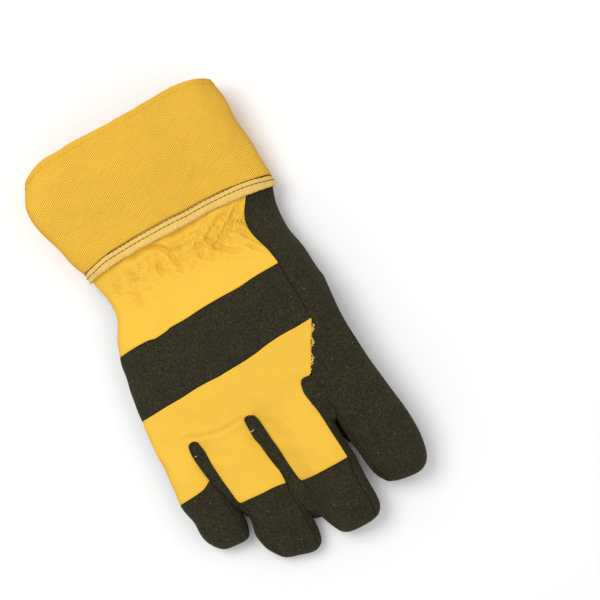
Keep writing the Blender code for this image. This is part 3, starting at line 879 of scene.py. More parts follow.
@dataclass(frozen=True)
class ClothFinish(Finish):
    """A woven cotton finish.

    Attributes:
        tint: colour of the darker patches.
        pitch: distance between ribs.
        yarn: distance between the yarns that cross them.
        angle: turn of the ribs from Y, in degrees.
        crossing: how far the crossing yarns break up the ribs.
        relief: height of the weave.
        evenness: share by which the colour between the ribs is like the crests'.
        roughness: mean roughness.
        pull: how far a fold 1 mm high moves the weave along.
    """

    tint: Color
    pitch: float = 1.05 * MM
    yarn: float = 0.8 * MM
    angle: float = 0.0
    crossing: float = 0.4
    relief: float = 0.16 * MM
    evenness: float = 0.0
    roughness: float = 0.86
    pull: tuple[float, float, float] = (0.5 * MM, 1.3 * MM, 0.0)

    def sockets(self, desk: Desk) -> dict[str, object]:
        """The weave with its patches, with painted shade in fold valleys, along the gathers' creases, along seams and
        on steep sides.
        """
        cloth = desk.add("ShaderNodeUVMap", uv_map="weave").outputs[0]
        place, fold = desk.place(), desk.attribute("fold")
        weave = TwillWeave.use(desk, vector=desk.turned(desk.pushed(cloth, fold, self.pull), self.angle),
                               pitch=self.pitch, yarn=self.yarn, crossing=self.crossing)
        pucker = Gathers.use(desk, vector=cloth, mask=desk.attribute("gather"))
        color = desk.mix(desk.spread(weave["Height"], 0.12, 0.62, self.evenness, 1.0), self.deep, self.light)
        for mask, share in ((weave["Yarn Tone"], 0.35),
                            (Mottle.use(desk, vector=place, size=0.028)["Mask"], 0.3)):
            color = desk.stained_or_shaded(color, self.tint, mask, share)
        # Painted shade: darker in fold valleys, along the gathers' crease lines, along seams in uneven patches, and
        # on steep sides that turn away from the light.
        for mask, share in ((desk.spread(fold, -1.1, -0.08, 1.0, 0.0), 0.32), (pucker["Line"], 0.6),
                            (SeamShade.use(desk, vector=place, seam=desk.attribute("seam"))["Mask"], 0.2),
                            (desk.spread(desk.attribute("steep"), 0.08, 0.8), 0.75)):
            color = desk.stained_or_shaded(color, self.deep, mask, share)
        rough = desk.spread(weave["Height"], 0.0, 1.0, self.roughness + 0.08, self.roughness - 0.06)
        drawn = desk.bump(pucker["Height"], 0.9, 0.75 * MM, invert=True)
        return {"Base Color": color, "Roughness": rough, "Specular IOR Level": 0.25, "Sheen Weight": 0.05,
                "Sheen Roughness": 0.5, "Normal": desk.bump(weave["Height"], 0.85, self.relief, drawn)}


@dataclass(frozen=True)
class SuedeFinish(Finish):
    """A split leather finish with its nap up.

    Attributes:
        worn: colour of rubbed places and lint.
        grain: size of the fibres.
        relief: height of the nap.
    """

    worn: Color
    grain: float = 0.9 * MM
    relief: float = 0.3 * MM

    def sockets(self, desk: Desk) -> dict[str, object]:
        """The nap with darker patches, painted shade along the seams, and light flecks."""
        place = desk.place()
        nap = SuedeNap.use(desk, vector=place, grain=self.grain)
        color = desk.mix(nap["Fibre"], self.deep, self.light)
        color = desk.stained_or_shaded(color, self.deep, Mottle.use(desk, vector=place, size=0.016)["Mask"], 0.35)
        # Painted shade along the seams, in uneven patches.
        color = desk.stained_or_shaded(color, self.deep,
                             SeamShade.use(desk, vector=place, seam=desk.attribute("seam"))["Mask"], 0.2)
        color = desk.stained_or_shaded(color, self.worn, nap["Fleck"], 0.5)
        return {"Base Color": color, "Roughness": desk.spread(nap["Fibre"], 0.0, 1.0, 0.82, 0.98),
                "Specular IOR Level": 0.2, "Sheen Weight": 0.08, "Sheen Roughness": 0.6,
                "Sheen Tint": srgb(150, 150, 120), "Normal": desk.bump(nap["Height"], 0.8, self.relief)}


@dataclass(frozen=True)
class ThreadFinish(Finish):
    """A spun thread or yarn end, twisted finely along its length.

    Attributes:
        twist: size of the twist.
    """

    twist: float = 0.45 * MM

    def sockets(self, desk: Desk) -> dict[str, object]:
        """Fine strands with deeper patches."""
        place = desk.place()
        strand = desk.noise(place, 1.0 / self.twist, 3.0, 0.6)
        color = desk.mix(desk.spread(strand, 0.35, 0.65), self.deep, self.light)
        color = desk.stained_or_shaded(color, self.deep, Mottle.use(desk, vector=place, size=0.006)["Mask"], 0.4)
        return {"Base Color": color, "Roughness": desk.spread(strand, 0.3, 0.7, 0.7, 0.92),
                "Specular IOR Level": 0.25, "Normal": desk.bump(strand, 0.6, 0.1 * MM)}


DRILL = ClothFinish("drill_cloth", srgb(249, 202, 74), srgb(213, 159, 34), srgb(239, 188, 58),
                    pitch=1.06 * MM, yarn=0.82 * MM, angle=-27.0, crossing=0.5, evenness=0.45)
CANVAS = ClothFinish("cuff_canvas", srgb(255, 218, 90), srgb(201, 142, 22), srgb(241, 189, 58),
                     pitch=1.0 * MM, yarn=0.95 * MM, angle=62.0, crossing=0.75)
RAW_CANVAS = ClothFinish("raw_edge_canvas", srgb(253, 221, 138), srgb(216, 172, 84), srgb(247, 208, 110),
                         pitch=1.1 * MM, yarn=1.1 * MM, angle=45.0, crossing=0.75, relief=0.26 * MM)
CANVAS_REVERSE = ClothFinish("canvas_reverse", srgb(244, 226, 178), srgb(212, 186, 128), srgb(233, 211, 158),
                             pitch=1.0 * MM, yarn=0.95 * MM, angle=51.8, crossing=0.6)
SUEDE = SuedeFinish("split_leather", srgb(63, 58, 38), srgb(20, 18, 8), srgb(100, 96, 70))
YELLOW_THREAD = ThreadFinish("yellow_thread", srgb(255, 214, 96), srgb(226, 170, 50))
YELLOW_YARN = ThreadFinish("yellow_yarn", srgb(255, 222, 122), srgb(236, 182, 62))
WHITE_THREAD = ThreadFinish("white_thread", srgb(250, 244, 226), srgb(214, 204, 180))
BROWN_THREAD = ThreadFinish("brown_thread", srgb(132, 84, 34), srgb(92, 54, 20))
GREY_LINT = ThreadFinish("grey_lint", srgb(186, 186, 166), srgb(128, 126, 108))
CREAM_YARN = ThreadFinish("cream_yarn", srgb(250, 228, 166), srgb(224, 188, 112))


# ---------------------------------------------------------------- panels


def smooth_sides(mesh: Mesh, limit: float) -> tuple[list[int], list[set[int]]]:
    """Parts a packed shell at its sharp edges.

    Args:
        mesh: the shell's mesh, with its doubles merged.
        limit: the angle in radians over which an edge is sharp.

    Returns:
        The sharp edges, and the faces of each smooth side, the largest first: outside, inside, then rims.
    """
    normals = [p.normal.copy() for p in mesh.polygons]
    beside: dict[tuple[int, int], list[int]] = {}
    for polygon in mesh.polygons:
        for key in polygon.edge_keys:
            beside.setdefault(key, []).append(polygon.index)
    sharp, neighbours = [], [set() for _ in normals]
    for edge in mesh.edges:
        faces = beside.get(edge.key, [])
        if len(faces) == 2 and normals[faces[0]].angle(normals[faces[1]], 0.0) < limit:
            neighbours[faces[0]].add(faces[1])
            neighbours[faces[1]].add(faces[0])
        else:
            sharp.append(edge.index)
    left, sides = set(range(len(normals))), []
    while left:
        fresh = {left.pop()}
        side = set(fresh)
        while fresh:
            fresh = set().union(*(neighbours[face] for face in fresh)) & left
            left -= fresh
            side |= fresh
        sides.append(side)
    sides.sort(key=lambda side: -sum(mesh.polygons[face].area for face in side))
    return sharp, sides


@dataclass(frozen=True)
class Panel:
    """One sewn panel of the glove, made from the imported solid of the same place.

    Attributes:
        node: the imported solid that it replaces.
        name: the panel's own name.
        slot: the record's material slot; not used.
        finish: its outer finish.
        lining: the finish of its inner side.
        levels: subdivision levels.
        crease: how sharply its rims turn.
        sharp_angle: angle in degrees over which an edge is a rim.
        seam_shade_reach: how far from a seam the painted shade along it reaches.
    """

    node: str
    name: str
    slot: Slot
    finish: Finish
    lining: Finish | None = None
    levels: int = 3
    crease: float = 0.62
    sharp_angle: float = 60.0
    seam_shade_reach: float = 0.9 * MM

    def build(self, drape: Drape) -> Piece:
        """Makes, shapes and dresses the panel.

        Args:
            drape: the displacement that all pieces share.

        Returns:
            The finished piece.
        """
        panel = self.copy_solid()
        round_off(panel, self.levels)
        self.lay_weave(panel.data)
        self.shape(panel.data, drape)
        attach(panel, BODY)
        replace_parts(panel, self.node)
        return panel

    def copy_solid(self) -> Piece:
        """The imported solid's mesh as a new object, merged, in quads and with its rims creased."""
        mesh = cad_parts[self.node].data.copy()
        mesh.name = self.name
        mesh.materials.clear()
        panel = new_object(self.name, mesh)
        with editing(panel):
            bpy.ops.mesh.select_mode(type="EDGE")
            bpy.ops.mesh.remove_doubles(threshold=1e-5)
            bpy.ops.mesh.tris_convert_to_quads(face_threshold=math.radians(50), shape_threshold=math.radians(60))
        sharp, sides = smooth_sides(mesh, math.radians(self.sharp_angle))
        rim, crease = np.zeros(len(mesh.vertices)), np.zeros(len(mesh.edges))
        crease[sharp] = self.crease
        for index in sharp:
            rim[list(mesh.edges[index].vertices)] = 1.0
        mark(mesh, "crease_edge", crease, "EDGE")
        mark(mesh, "rim", rim)
        mesh.materials.append(self.finish.material())
        if self.lining is not None:
            mesh.materials.append(self.lining.material())
            for index in sides[1]:
                mesh.polygons[index].material_index = 1
        return panel

    def shape(self, mesh: Mesh, drape: Drape) -> None:
        """Moves the panel with the shared displacement, and marks seams, folds, gathers and steep places."""
        points = points_of(mesh)
        rim = read(mesh.attributes["rim"].data, "value")
        mesh.attributes.remove(mesh.attributes["rim"])
        border = np.flatnonzero(rim > 0.98)
        tree = KDTree(len(border))
        for index in border:
            tree.insert(points[index], int(index))
        tree.balance()
        distance = np.ones(len(points))
        for index in np.flatnonzero(rim > 0.0):
            distance[index] = tree.find(points[index])[2]
        move, fold = drape.shift(points)
        gather = drape.gather(points)
        points = points + move
        points[:, 2] = np.maximum(points[:, 2], 0.0)
        set_points(mesh, points)
        # How far the surface turns from facing up; the cloth finishes paint shade on steep sides by it.
        steep = 1.0 - np.abs(read(mesh.vertex_normals, "vector", 3)[:, 2])
        for name, values in (("seam", np.exp(-distance / self.seam_shade_reach)), ("fold", fold / MM), ("gather", gather),
                             ("steep", steep)):
            mark(mesh, name, values)

    @staticmethod
    def lay_weave(mesh: Mesh) -> None:
        """Gives the panel a flat map in metres, along which its weave runs over crests and down sides."""
        x, y, z = points_of(mesh).T
        facing = np.repeat(read(mesh.polygons, "normal", 3), read(mesh.polygons, "loop_total", kind=int), axis=0)
        corners = read(mesh.loops, "vertex_index", kind=int)
        sideways = np.abs(facing[:, 0]) > 1.6 * np.abs(facing[:, 2])
        across = np.where(sideways, -np.sign(x[corners]) * z[corners], x[corners])
        layer = mesh.uv_layers.new(name="weave")
        layer.data.foreach_set("uv", np.column_stack([across, y[corners]]).ravel())


# ---------------------------------------------------------------- small pieces laid on the panels


class Tube:
    """A finished ring-shaped piece round the wrist, with its upper and lower border by angle."""

    samples = 420

    def __init__(self, piece: Piece) -> None:
        """Measures the borders.

        Args:
            piece: the finished tube.
        """
        points = points_of(piece.data)
        self.middle = (points.min(axis=0) + points.max(axis=0)) / 2
        self.half = (points.max(axis=0) - points.min(axis=0)) / 2
        self.ground = Ground([piece])
        x, y, z = points.T
        angle = np.arctan2((z - self.middle[2]) / self.half[2], (x - self.middle[0]) / self.half[0])
        bins = ((angle + math.pi) / (2 * math.pi) * self.samples).astype(int) % self.samples
        self.upper = self.outermost(bins, y, np.maximum, -1.0)
        self.lower = self.outermost(bins, y, np.minimum, 1.0)

    def outermost(self, bins: np.ndarray, y: np.ndarray, choose: np.ufunc, start: float) -> np.ndarray:
        """The outermost y near each bin, gaps filled and smoothed round the ring."""
        edge = np.full(self.samples, start)
        choose.at(edge, bins, y)
        edge = choose.reduce([np.roll(edge, k) for k in range(-2, 3)])
        known = np.flatnonzero(edge != start)
        edge = np.interp(np.arange(self.samples), known, edge[known], period=self.samples)
        return sum(np.roll(edge, k) for k in range(-3, 4)) / 7

    def ring(self, offset: float, border: Border) -> tuple[np.ndarray, np.ndarray]:
        """A closed line round the outside.

        Args:
            offset: distance in from the border.
            border: the border that it is measured from.

        Returns:
            The line's places and the outward direction at each.
        """
        places, normals = [], []
        for index in range(self.samples):
            angle = (index + 0.5) / self.samples * 2 * math.pi - math.pi
            way = Vector((math.cos(angle) * self.half[0], 0.0, math.sin(angle) * self.half[2])).normalized()
            y = self.upper[index] - offset if border is Border.UPPER else self.lower[index] + offset
            found = self.ground.hit(Vector((self.middle[0], y, self.middle[2])) + way * SKY, -way)
            if found is not None:
                places.append(found[0])
                normals.append(found[1])
        return np.array(places), np.array(normals)


def spaced(places: np.ndarray, normals: np.ndarray, pitch: float) -> list[Root]:
    """Even places along a closed line.

    Args:
        places: points of the line.
        normals: the outward direction at each.
        pitch: the wanted distance between two places.

    Returns:
        Place, direction along and direction outward of each.
    """
    steps = np.linalg.norm(np.roll(places, -1, axis=0) - places, axis=1)
    run = np.concatenate([[0.0], np.cumsum(steps)])
    loop, out = np.vstack([places, places[:1]]), np.vstack([normals, normals[:1]])
    count = max(3, round(run[-1] / pitch))
    middle = np.arange(count) * run[-1] / count
    before, after = (between((middle + step) % run[-1], run, loop) for step in (-pitch / 2, pitch / 2))
    rows = zip(between(middle % run[-1], run, loop), unit(after - before), unit(between(middle % run[-1], run, out)))
    return [(Vector(place), Vector(along), Vector(outward)) for place, along, outward in rows]


def thread_arc(name: str, finish: ThreadFinish, thickness: float, bow: float, angle: float,
               sides: int = 6, steps: int = 6) -> Piece:
    """A short bowed thread with closed ends, its crown at the origin, running along X and bowed towards Z.

    Args:
        name: the pattern's name.
        finish: the thread's finish.
        thickness: its diameter.
        bow: radius of its curve.
        angle: how far round that curve it goes, in degrees.
        sides: corners of its section.
        steps: sections along it.

    Returns:
        The pattern to copy.
    """
    half = math.radians(angle) / 2
    bpy.ops.mesh.primitive_circle_add(vertices=sides, radius=thickness / 2, fill_type="NOTHING",
                                      location=(-bow * math.sin(half), 0.0, bow * (math.cos(half) - 1.0)),
                                      rotation=(0.0, math.pi / 2 - half, 0.0))
    pattern = bpy.context.view_layer.objects.active
    pattern.name = name
    with editing(pattern):
        bpy.ops.mesh.spin(steps=steps, angle=-2 * half, center=(0.0, 0.0, -bow), axis=(0.0, 1.0, 0.0))
        bpy.ops.mesh.select_all(action="SELECT")
        bpy.ops.mesh.remove_doubles(threshold=1e-6)
        bpy.ops.mesh.fill_holes(sides=0)
        bpy.ops.mesh.normals_make_consistent(inside=False)
    bpy.ops.object.transform_apply(location=True, rotation=True, scale=True)
    bpy.ops.object.shade_smooth()
    pattern.data.materials.append(finish.material())
    return pattern


def settle(piece: Piece) -> Piece:
    """Lets a finished small piece ride with the glove."""
    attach(piece, BODY)
    return piece


@dataclass(frozen=True)
class Thread:
    """What every row or scatter of threads has.

    Attributes:
        name: the piece's name.
        slot: the record's material slot; not used.
        finish: the threads' finish.
    """

    name: str
    slot: Slot
    finish: ThreadFinish


@dataclass(frozen=True)
class StitchRow(Thread):
    """A row of lockstitch round a tube.

    Attributes:
        offset: distance in from the tube's upper border.
        length: length of one stitch.
        gap: gap between two stitches.
        thickness: the thread's diameter.
        rise: how far a stitch's middle stands over its ends.
        seat: how far a stitch's crown stands out of the cloth.
    """

    offset: float
    length: float = 2.35 * MM
    gap: float = 0.35 * MM
    thickness: float = 0.4 * MM
    rise: float = 0.34 * MM
    seat: float = 0.24 * MM

    def sew(self, tube: Tube) -> Piece:
        """Sews the row round a tube."""
        bow = (self.length**2 / 4 + self.rise**2) / (2 * self.rise)
        angle = 2 * math.degrees(math.asin(self.length / 2 / bow))
        pattern = thread_arc(self.name + "_stitch", self.finish, self.thickness, bow, angle)
        rng = np.random.default_rng(41)
        stitches = []
        for place, along, outward in spaced(*tube.ring(self.offset, Border.UPPER), self.length + self.gap):
            lean = along + outward.cross(along) * float(rng.normal(0.0, 0.035))
            at = axes_at(place + outward * self.seat, lean, outward, float(rng.uniform(0.94, 1.05)))
            stitches.append(placed_copy(pattern, at))
        discard(pattern)
        return settle(joined(stitches, self.name))


@dataclass(frozen=True)
class Fray(Thread):
    """Loose yarn ends of one colour.

    Attributes:
        seed: seed of the draw.
        thickness: a yarn end's diameter.
        length: a yarn end's mean length.
    """

    seed: int
    thickness: float = 0.26 * MM
    length: float = 1.5 * MM

    def patterns(self) -> list[Piece]:
        """Three yarn ends of different bends."""
        return [thread_arc(f"{self.name}_{bend}", self.finish, self.thickness, self.length / math.radians(bend), bend,
                           sides=5, steps=4) for bend in (24.0, 60.0, 105.0)]

    def scatter(self, roots: Sequence[Root], spread: float, lift: float) -> Piece:
        """Grows a yarn end at each root.

        Args:
            roots: place, direction and outward of each.
            spread: how far the directions differ, as a share of their length.
            lift: how far the ends stand up, as a share of their length.

        Returns:
            All of them as one piece.
        """
        rng = np.random.default_rng(self.seed)
        patterns = self.patterns()
        ends = []
        for place, way, outward in roots:
            side = outward.cross(way)
            lean = way + side * float(rng.normal(0.0, spread)) + outward * float(abs(rng.normal(0.0, lift)))
            size = float(rng.uniform(0.65, 1.35))
            tilt = outward + side * float(rng.normal(0.0, 0.9))
            ends.append(placed_copy(patterns[int(rng.integers(len(patterns)))],
                                    axes_at(place + outward * self.thickness * 0.45, lean, tilt, size)))
        for pattern in patterns:
            discard(pattern)
        return settle(joined(ends, self.name))


@dataclass(frozen=True)
class ThreadEnd:
    """One loose thread end, lying flat.

    Attributes:
        spot: its middle, in millimetres.
        heading: the direction of its chord, in degrees from X.
        length: its length in millimetres.
        bend: how far it curls, in degrees; it bows to the left of its heading.
    """

    spot: Point2
    heading: float
    length: float
    bend: float


@dataclass(frozen=True)
class ThreadEnds(Thread):
    """Loose thread ends of one kind, each laid where it was seen.

    Attributes:
        thickness: a thread's diameter.
        ends: the ends.
    """

    thickness: float
    ends: tuple[ThreadEnd, ...]

    def lay(self, ground: Ground) -> Piece:
        """Lays them on the finished panels."""
        laid = []
        for end in self.ends:
            found = ground.top(end.spot[0] * MM, end.spot[1] * MM)
            if found is None:
                continue
            turn = math.radians(end.heading)
            along = Vector((math.cos(turn), math.sin(turn), 0.0))
            bow = end.length * MM / math.radians(end.bend)
            thread = thread_arc(self.name, self.finish, self.thickness, bow, end.bend, sides=6, steps=8)
            thread.matrix_world = axes_at(found[0] + Vector((0.0, 0.0, 0.6 * self.thickness)), along,
                                          Vector((-along.y, along.x, 0.15)))
            laid.append(thread)
        return settle(joined(laid, self.name))


@dataclass(frozen=True)
class Web:
    """A side wall's leather where it shows between two fingers, rounded at the fork.

    Attributes:
        name: the piece's name.
        left: its edge on the little finger's side, in millimetres, from the fork down.
        right: its edge on the index finger's side.
        sunk_from: share of its length from which it lies between two leather fingers.
        depth: how deep it lies there at first and at its lower end.
        proud: how far its left and right edges lie over what is below them.
        fork: radius of its rounded top.
        thickness: the leather's thickness.
        sag: how far its middle hangs below its edges.
        foot: height of its lower end over the floor.
        outside: how far past its edges the fingers' heights are read, as a share of its width.
        rows: faces along it.
        columns: faces across it.
    """

    name: str
    left: tuple[Point2, ...]
    right: tuple[Point2, ...]
    sunk_from: float
    depth: tuple[float, float] = (0.4 * MM, 2.6 * MM)
    proud: tuple[float, float] = (0.45 * MM, 0.45 * MM)
    fork: float = 2.9 * MM
    thickness: float = 0.45 * MM
    sag: float = 0.35 * MM
    foot: float = 2.0 * MM
    outside: float = 0.16
    rows: int = 40
    columns: int = 12

    def build(self, ground: Ground) -> Piece:
        """Cuts, lays and dresses the leather.

        Args:
            ground: the finished panels.

        Returns:
            The finished piece.
        """
        bpy.ops.mesh.primitive_grid_add(x_subdivisions=self.columns, y_subdivisions=self.rows, size=1.0)
        web = bpy.context.view_layer.objects.active
        web.name = web.data.name = self.name
        x, y, _ = points_of(web.data).T
        set_points(web.data, self.laid(x + 0.5, 0.5 - y, ground))
        web.data.materials.append(SUEDE.material())
        with editing(web):
            bpy.ops.mesh.normals_make_consistent(inside=False)
        if sum(p.normal.z for p in web.data.polygons) < 0:
            web.data.flip_normals()
        wall = web.modifiers.new("wall", "SOLIDIFY")
        wall.thickness, wall.offset = self.thickness, -1.0
        round_off(web, 1)
        return settle(web)

    def laid(self, across: np.ndarray, down: np.ndarray, ground: Ground) -> np.ndarray:
        """The places of the leather's points on the glove.

        Args:
            across: 0 at the left edge to 1 at the right.
            down: 0 at the fork to 1 at the lower end.
            ground: the finished panels.

        Returns:
            The places, one row each.
        """
        left, right = smooth_line(self.left, 12), smooth_line(self.right, 12)
        marks = np.linspace(0.0, 1.0, len(left))
        far, near = between(down, marks, left), between(down, marks, right)
        length = np.linalg.norm(np.diff(left, axis=0), axis=1).sum()
        turn = np.clip(down * length / self.fork, 0.0, 1.0)
        share = 0.5 + (across - 0.5) * np.sqrt(np.maximum(1.0 - (1.0 - turn) ** 2, 0.02))
        place = far * (1 - share)[:, None] + near * share[:, None]
        edge = self.edge_heights(far, near, down, ground)
        line = edge[:, 0] * (1 - share) + edge[:, 1] * share
        hollow = 4 * share * (1 - share) * self.sag
        floor = np.array([self.height(ground, spot) for spot in place])
        shown = np.maximum(line - hollow, floor) + self.proud[0] * (1 - share) + self.proud[1] * share
        way = np.clip((down - self.sunk_from) / (1.0 - self.sunk_from), 0.0, 1.0)
        sunk = line - 2 * hollow - (self.depth[0] * (1 - way) + self.depth[1] * way)
        ending = smooth_step(0.8, 1.0, way)
        sunk = sunk * (1.0 - ending) + self.foot * ending
        hidden = smooth_step(self.sunk_from - 0.05, self.sunk_from + 0.05, down)
        return np.column_stack([place, shown * (1 - hidden) + sunk * hidden])

    def edge_heights(self, far: np.ndarray, near: np.ndarray, down: np.ndarray, ground: Ground) -> np.ndarray:
        """The glove's height just outside both edges, smoothed along them.

        Args:
            far: the left edge's place for each point.
            near: the right edge's place for each point.
            down: 0 at the fork to 1 at the lower end.
            ground: the finished panels.

        Returns:
            The height at the left and at the right for each point.
        """
        beyond = (near - far) * self.outside
        levels = sorted(set(np.round(down, 5)))
        sides = []
        for level in levels:
            index = int(np.flatnonzero(np.abs(down - level) < 1e-4)[0])
            sides.append((self.height(ground, far[index] - beyond[index]),
                          self.height(ground, near[index] + beyond[index])))
        for _ in range(3):
            padded = np.vstack([sides[:1], sides, sides[-1:]])
            sides = (padded[:-2] + padded[1:-1] + padded[2:]) / 3
        return between(down, levels, sides)

    @staticmethod
    def height(ground: Ground, spot: np.ndarray) -> float:
        """Height of the glove at a place, 0 beside it."""
        found = ground.top(float(spot[0]), float(spot[1]))
        return found[0].z if found is not None else 0.0


# ---------------------------------------------------------------- sub-assemblies


def leather(node: str, name: str, levels: int, crease: float = 0.85) -> Panel:
    """A panel of split leather."""
    return Panel(node, name, Slot.LEATHER, SUEDE, levels=levels, crease=crease)


@dataclass
class Cuff:
    """The canvas cuff and the raw-edged strip at its foot."""

    cuff: Panel = Panel("cuff", "cuff_canvas_tube", Slot.CUFF, CANVAS, CANVAS_REVERSE, crease=0.75)
    strip: Panel = Panel("cuff_strip", "cuff_raw_strip", Slot.RAW, RAW_CANVAS, RAW_CANVAS, crease=0.75)
    hem: StitchRow = StitchRow("hem_stitches", Slot.CUFF, YELLOW_THREAD, 3.0 * MM, thickness=0.34 * MM,
                               rise=0.26 * MM)
    rows: tuple[StitchRow, ...] = (
        StitchRow("strip_stitches_upper", Slot.RAW, BROWN_THREAD, 0.5 * MM),
        StitchRow("strip_stitches_lower", Slot.RAW, BROWN_THREAD, 3.1 * MM),
    )
    frays: tuple[tuple[Fray, int], ...] = (
        (Fray("strip_fray_cream", Slot.RAW, CREAM_YARN, 51), 2),
        (Fray("strip_fray_yellow", Slot.RAW, YELLOW_YARN, 52, thickness=0.22 * MM, length=1.2 * MM), 1),
    )

    def build(self, drape: Drape) -> list[Piece]:
        """Makes the cuff's pieces."""
        cuff, strip = self.cuff.build(drape), self.strip.build(drape)
        foot = Tube(strip)
        pieces = [cuff, strip, self.hem.sew(Tube(cuff))]
        pieces += [row.sew(foot) for row in self.rows]
        pieces += [fray.scatter(self.roots(foot, fray.seed, lines), 0.38, 0.16) for fray, lines in self.frays]
        return pieces

    @staticmethod
    def roots(tube: Tube, seed: int, lines: int) -> list[Root]:
        """Where yarn ends leave the strip's raw edge.

        Args:
            tube: the finished strip.
            seed: seed of the draw.
            lines: how many lines of roots lie inside each other.

        Returns:
            Place, direction and outward of each root.
        """
        rng = np.random.default_rng(seed)
        roots = []
        for line in range(lines):
            for place, along, outward in spaced(*tube.ring((0.35 + 0.8 * line) * MM, Border.LOWER), 0.85 * MM):
                down = outward.cross(along)
                down = down if down.y < 0 else -down
                start = place + along * float(rng.normal(0.0, 0.25)) * MM - down * float(rng.uniform(-0.3, 0.5)) * MM
                roots.append((start, down, outward))
        return roots


@dataclass
class Section:
    """A sub-assembly that is made of panels alone."""

    panels: tuple[Panel, ...]

    def build(self, drape: Drape) -> list[Piece]:
        """Makes its panels."""
        return [panel.build(drape) for panel in self.panels]


@dataclass
class Back(Section):
    """The yellow cloth of the wrist and back, with the knuckle strap."""

    panels: tuple[Panel, ...] = (
        Panel("wrist_back_cloth", "wrist_drill", Slot.BACK, DRILL, RAW_CANVAS),
        Panel("hand_back_cloth", "back_drill", Slot.BACK, DRILL, RAW_CANVAS),
        leather("knuckle_strap", "knuckle_suede", 3, crease=0.62),
    )


@dataclass
class Fingertips(Section):
    """The leather caps of three fingers and the index finger's whole back."""

    panels: tuple[Panel, ...] = (
        leather("pinky_tip_leather", "pinky_tip_suede", 3),
        leather("ring_tip_leather", "ring_tip_suede", 3),
        leather("middle_tip_leather", "middle_tip_suede", 3),
        leather("index_back_leather", "index_back_suede", 3),
    )


@dataclass
class Palm(Section):
    """The leather palm, the side walls between the fingers, and the thumb folded under it."""

    panels: tuple[Panel, ...] = (
        leather("palm_leather", "palm_suede", 2),
        leather("fourchette_pinky_ring", "pinky_ring_wall", 2),
        leather("fourchette_ring_middle", "ring_middle_wall", 2),
        leather("fourchette_middle_index", "middle_index_wall", 2),
        leather("thumb_back_leather", "thumb_back_suede", 2),
        leather("thumb_front_leather", "thumb_front_suede", 2),
    )


@dataclass
class Trimmings:
    """What lies on the finished panels: the leather between the fingers, loose threads and lint."""

    webs: tuple[Web, ...] = (
        Web("web_pinky_ring",
            ((-50.0, -46.3), (-50.8, -51.5), (-50.6, -56.7), (-50.0, -62.1), (-48.8, -69.7), (-46.6, -77.0),
             (-44.2, -88.0), (-41.4, -99.5)),
            ((-44.7, -47.0), (-44.2, -51.0), (-43.6, -56.9), (-43.5, -62.8), (-43.1, -70.3), (-39.6, -80.7),
             (-36.4, -92.0), (-34.2, -102.2)), 0.57),
        Web("web_ring_middle",
            ((-15.4, -47.6), (-15.8, -51.7), (-15.7, -56.6), (-14.7, -64.3), (-13.4, -71.3), (-11.8, -79.3),
             (-10.9, -88.8), (-12.2, -97.1), (-11.3, -107.1), (-8.0, -118.6)),
            ((-9.5, -48.6), (-8.6, -52.7), (-8.0, -57.6), (-7.5, -64.9), (-6.7, -71.4), (-6.1, -81.1),
             (-4.5, -91.4), (-1.9, -100.1), (-0.9, -110.1), (0.2, -120.6)), 0.63),
        Web("web_middle_index",
            ((23.9, -43.3), (22.0, -46.1), (21.0, -51.2), (21.8, -56.4), (22.9, -62.1), (23.9, -69.4),
             (24.4, -76.0)),
            ((30.4, -44.5), (30.1, -49.2), (30.4, -55.7), (30.9, -61.8), (31.4, -66.8), (30.7, -71.6),
             (28.3, -75.6)), 0.86,
            depth=(1.0 * MM, 4.0 * MM), proud=(0.45 * MM, -0.45 * MM)),
    )

    ends: tuple[ThreadEnds, ...] = (
        ThreadEnds("white_thread_ends", Slot.RAW, WHITE_THREAD, 0.3 * MM, (
            ThreadEnd((-14.4, -57.0), -163, 3.0, 150),
            ThreadEnd((-49.3, -54.7), -1, 1.3, 60),
            ThreadEnd((21.2, 65.9), 43, 1.9, 30),
            ThreadEnd((55.3, 65.0), -65, 1.4, 60),
            ThreadEnd((-36.4, 66.8), -91, 1.2, 50),
        )),
        ThreadEnds("lint_fibres", Slot.LEATHER, GREY_LINT, 0.15 * MM, (
            ThreadEnd((27.8, -55.8), -55, 1.1, 70),
            ThreadEnd((-61.2, -76.6), -14, 1.3, 40),
            ThreadEnd((-44.2, -3.7), -10, 1.0, 50),
            ThreadEnd((57.7, -39.4), -91, 1.2, 60),
            ThreadEnd((-28.0, -100.7), -73, 0.9, 40),
            ThreadEnd((41.6, -100.1), -55, 1.1, 60),
            ThreadEnd((6.2, -114.5), -91, 0.9, 60),
            ThreadEnd((-54.5, -96.0), -55, 1.0, 50),
        )),
    )
    tufts: Fray = Fray("seam_tufts", Slot.BACK, YELLOW_YARN, 61, thickness=0.3 * MM, length=1.7 * MM)
    ragged: tuple[Point2, ...] = (
        (43.4, -20.4), (41.1, -23.6), (39.1, -26.6), (38.2, -29.5), (34.8, -31.8), (34.8, -35.6), (32.8, -38.6),
        (30.6, -41.3), (28.0, -43.6),
    )

    def build(self, panels: list[Piece]) -> list[Piece]:
        """Makes them on the finished panels."""
        ground = Ground(panels)
        webs = [web.build(ground) for web in self.webs]
        ground = Ground(panels + webs)
        return webs + [group.lay(ground) for group in self.ends] + [self.tufts.scatter(self.roots(ground), 0.5, 0.12)]

    def roots(self, ground: Ground) -> list[Root]:
        """Where yarn ends leave the back cloth's ragged edge beside the index finger.

        Args:
            ground: the finished panels and webs.

        Returns:
            Place, direction and outward of each root.
        """
        rng = np.random.default_rng(62)
        roots = []
        for x, y in smooth_line(self.ragged, 8):
            found = ground.top(float(x), float(y))
            if found is not None:
                turn = math.radians(-18.0 + float(rng.normal(0.0, 30.0)))
                roots.append((found[0], Vector((math.cos(turn), math.sin(turn), -0.1)), Vector((0.0, 0.0, 1.0))))
        return roots


# ---------------------------------------------------------------- the studio


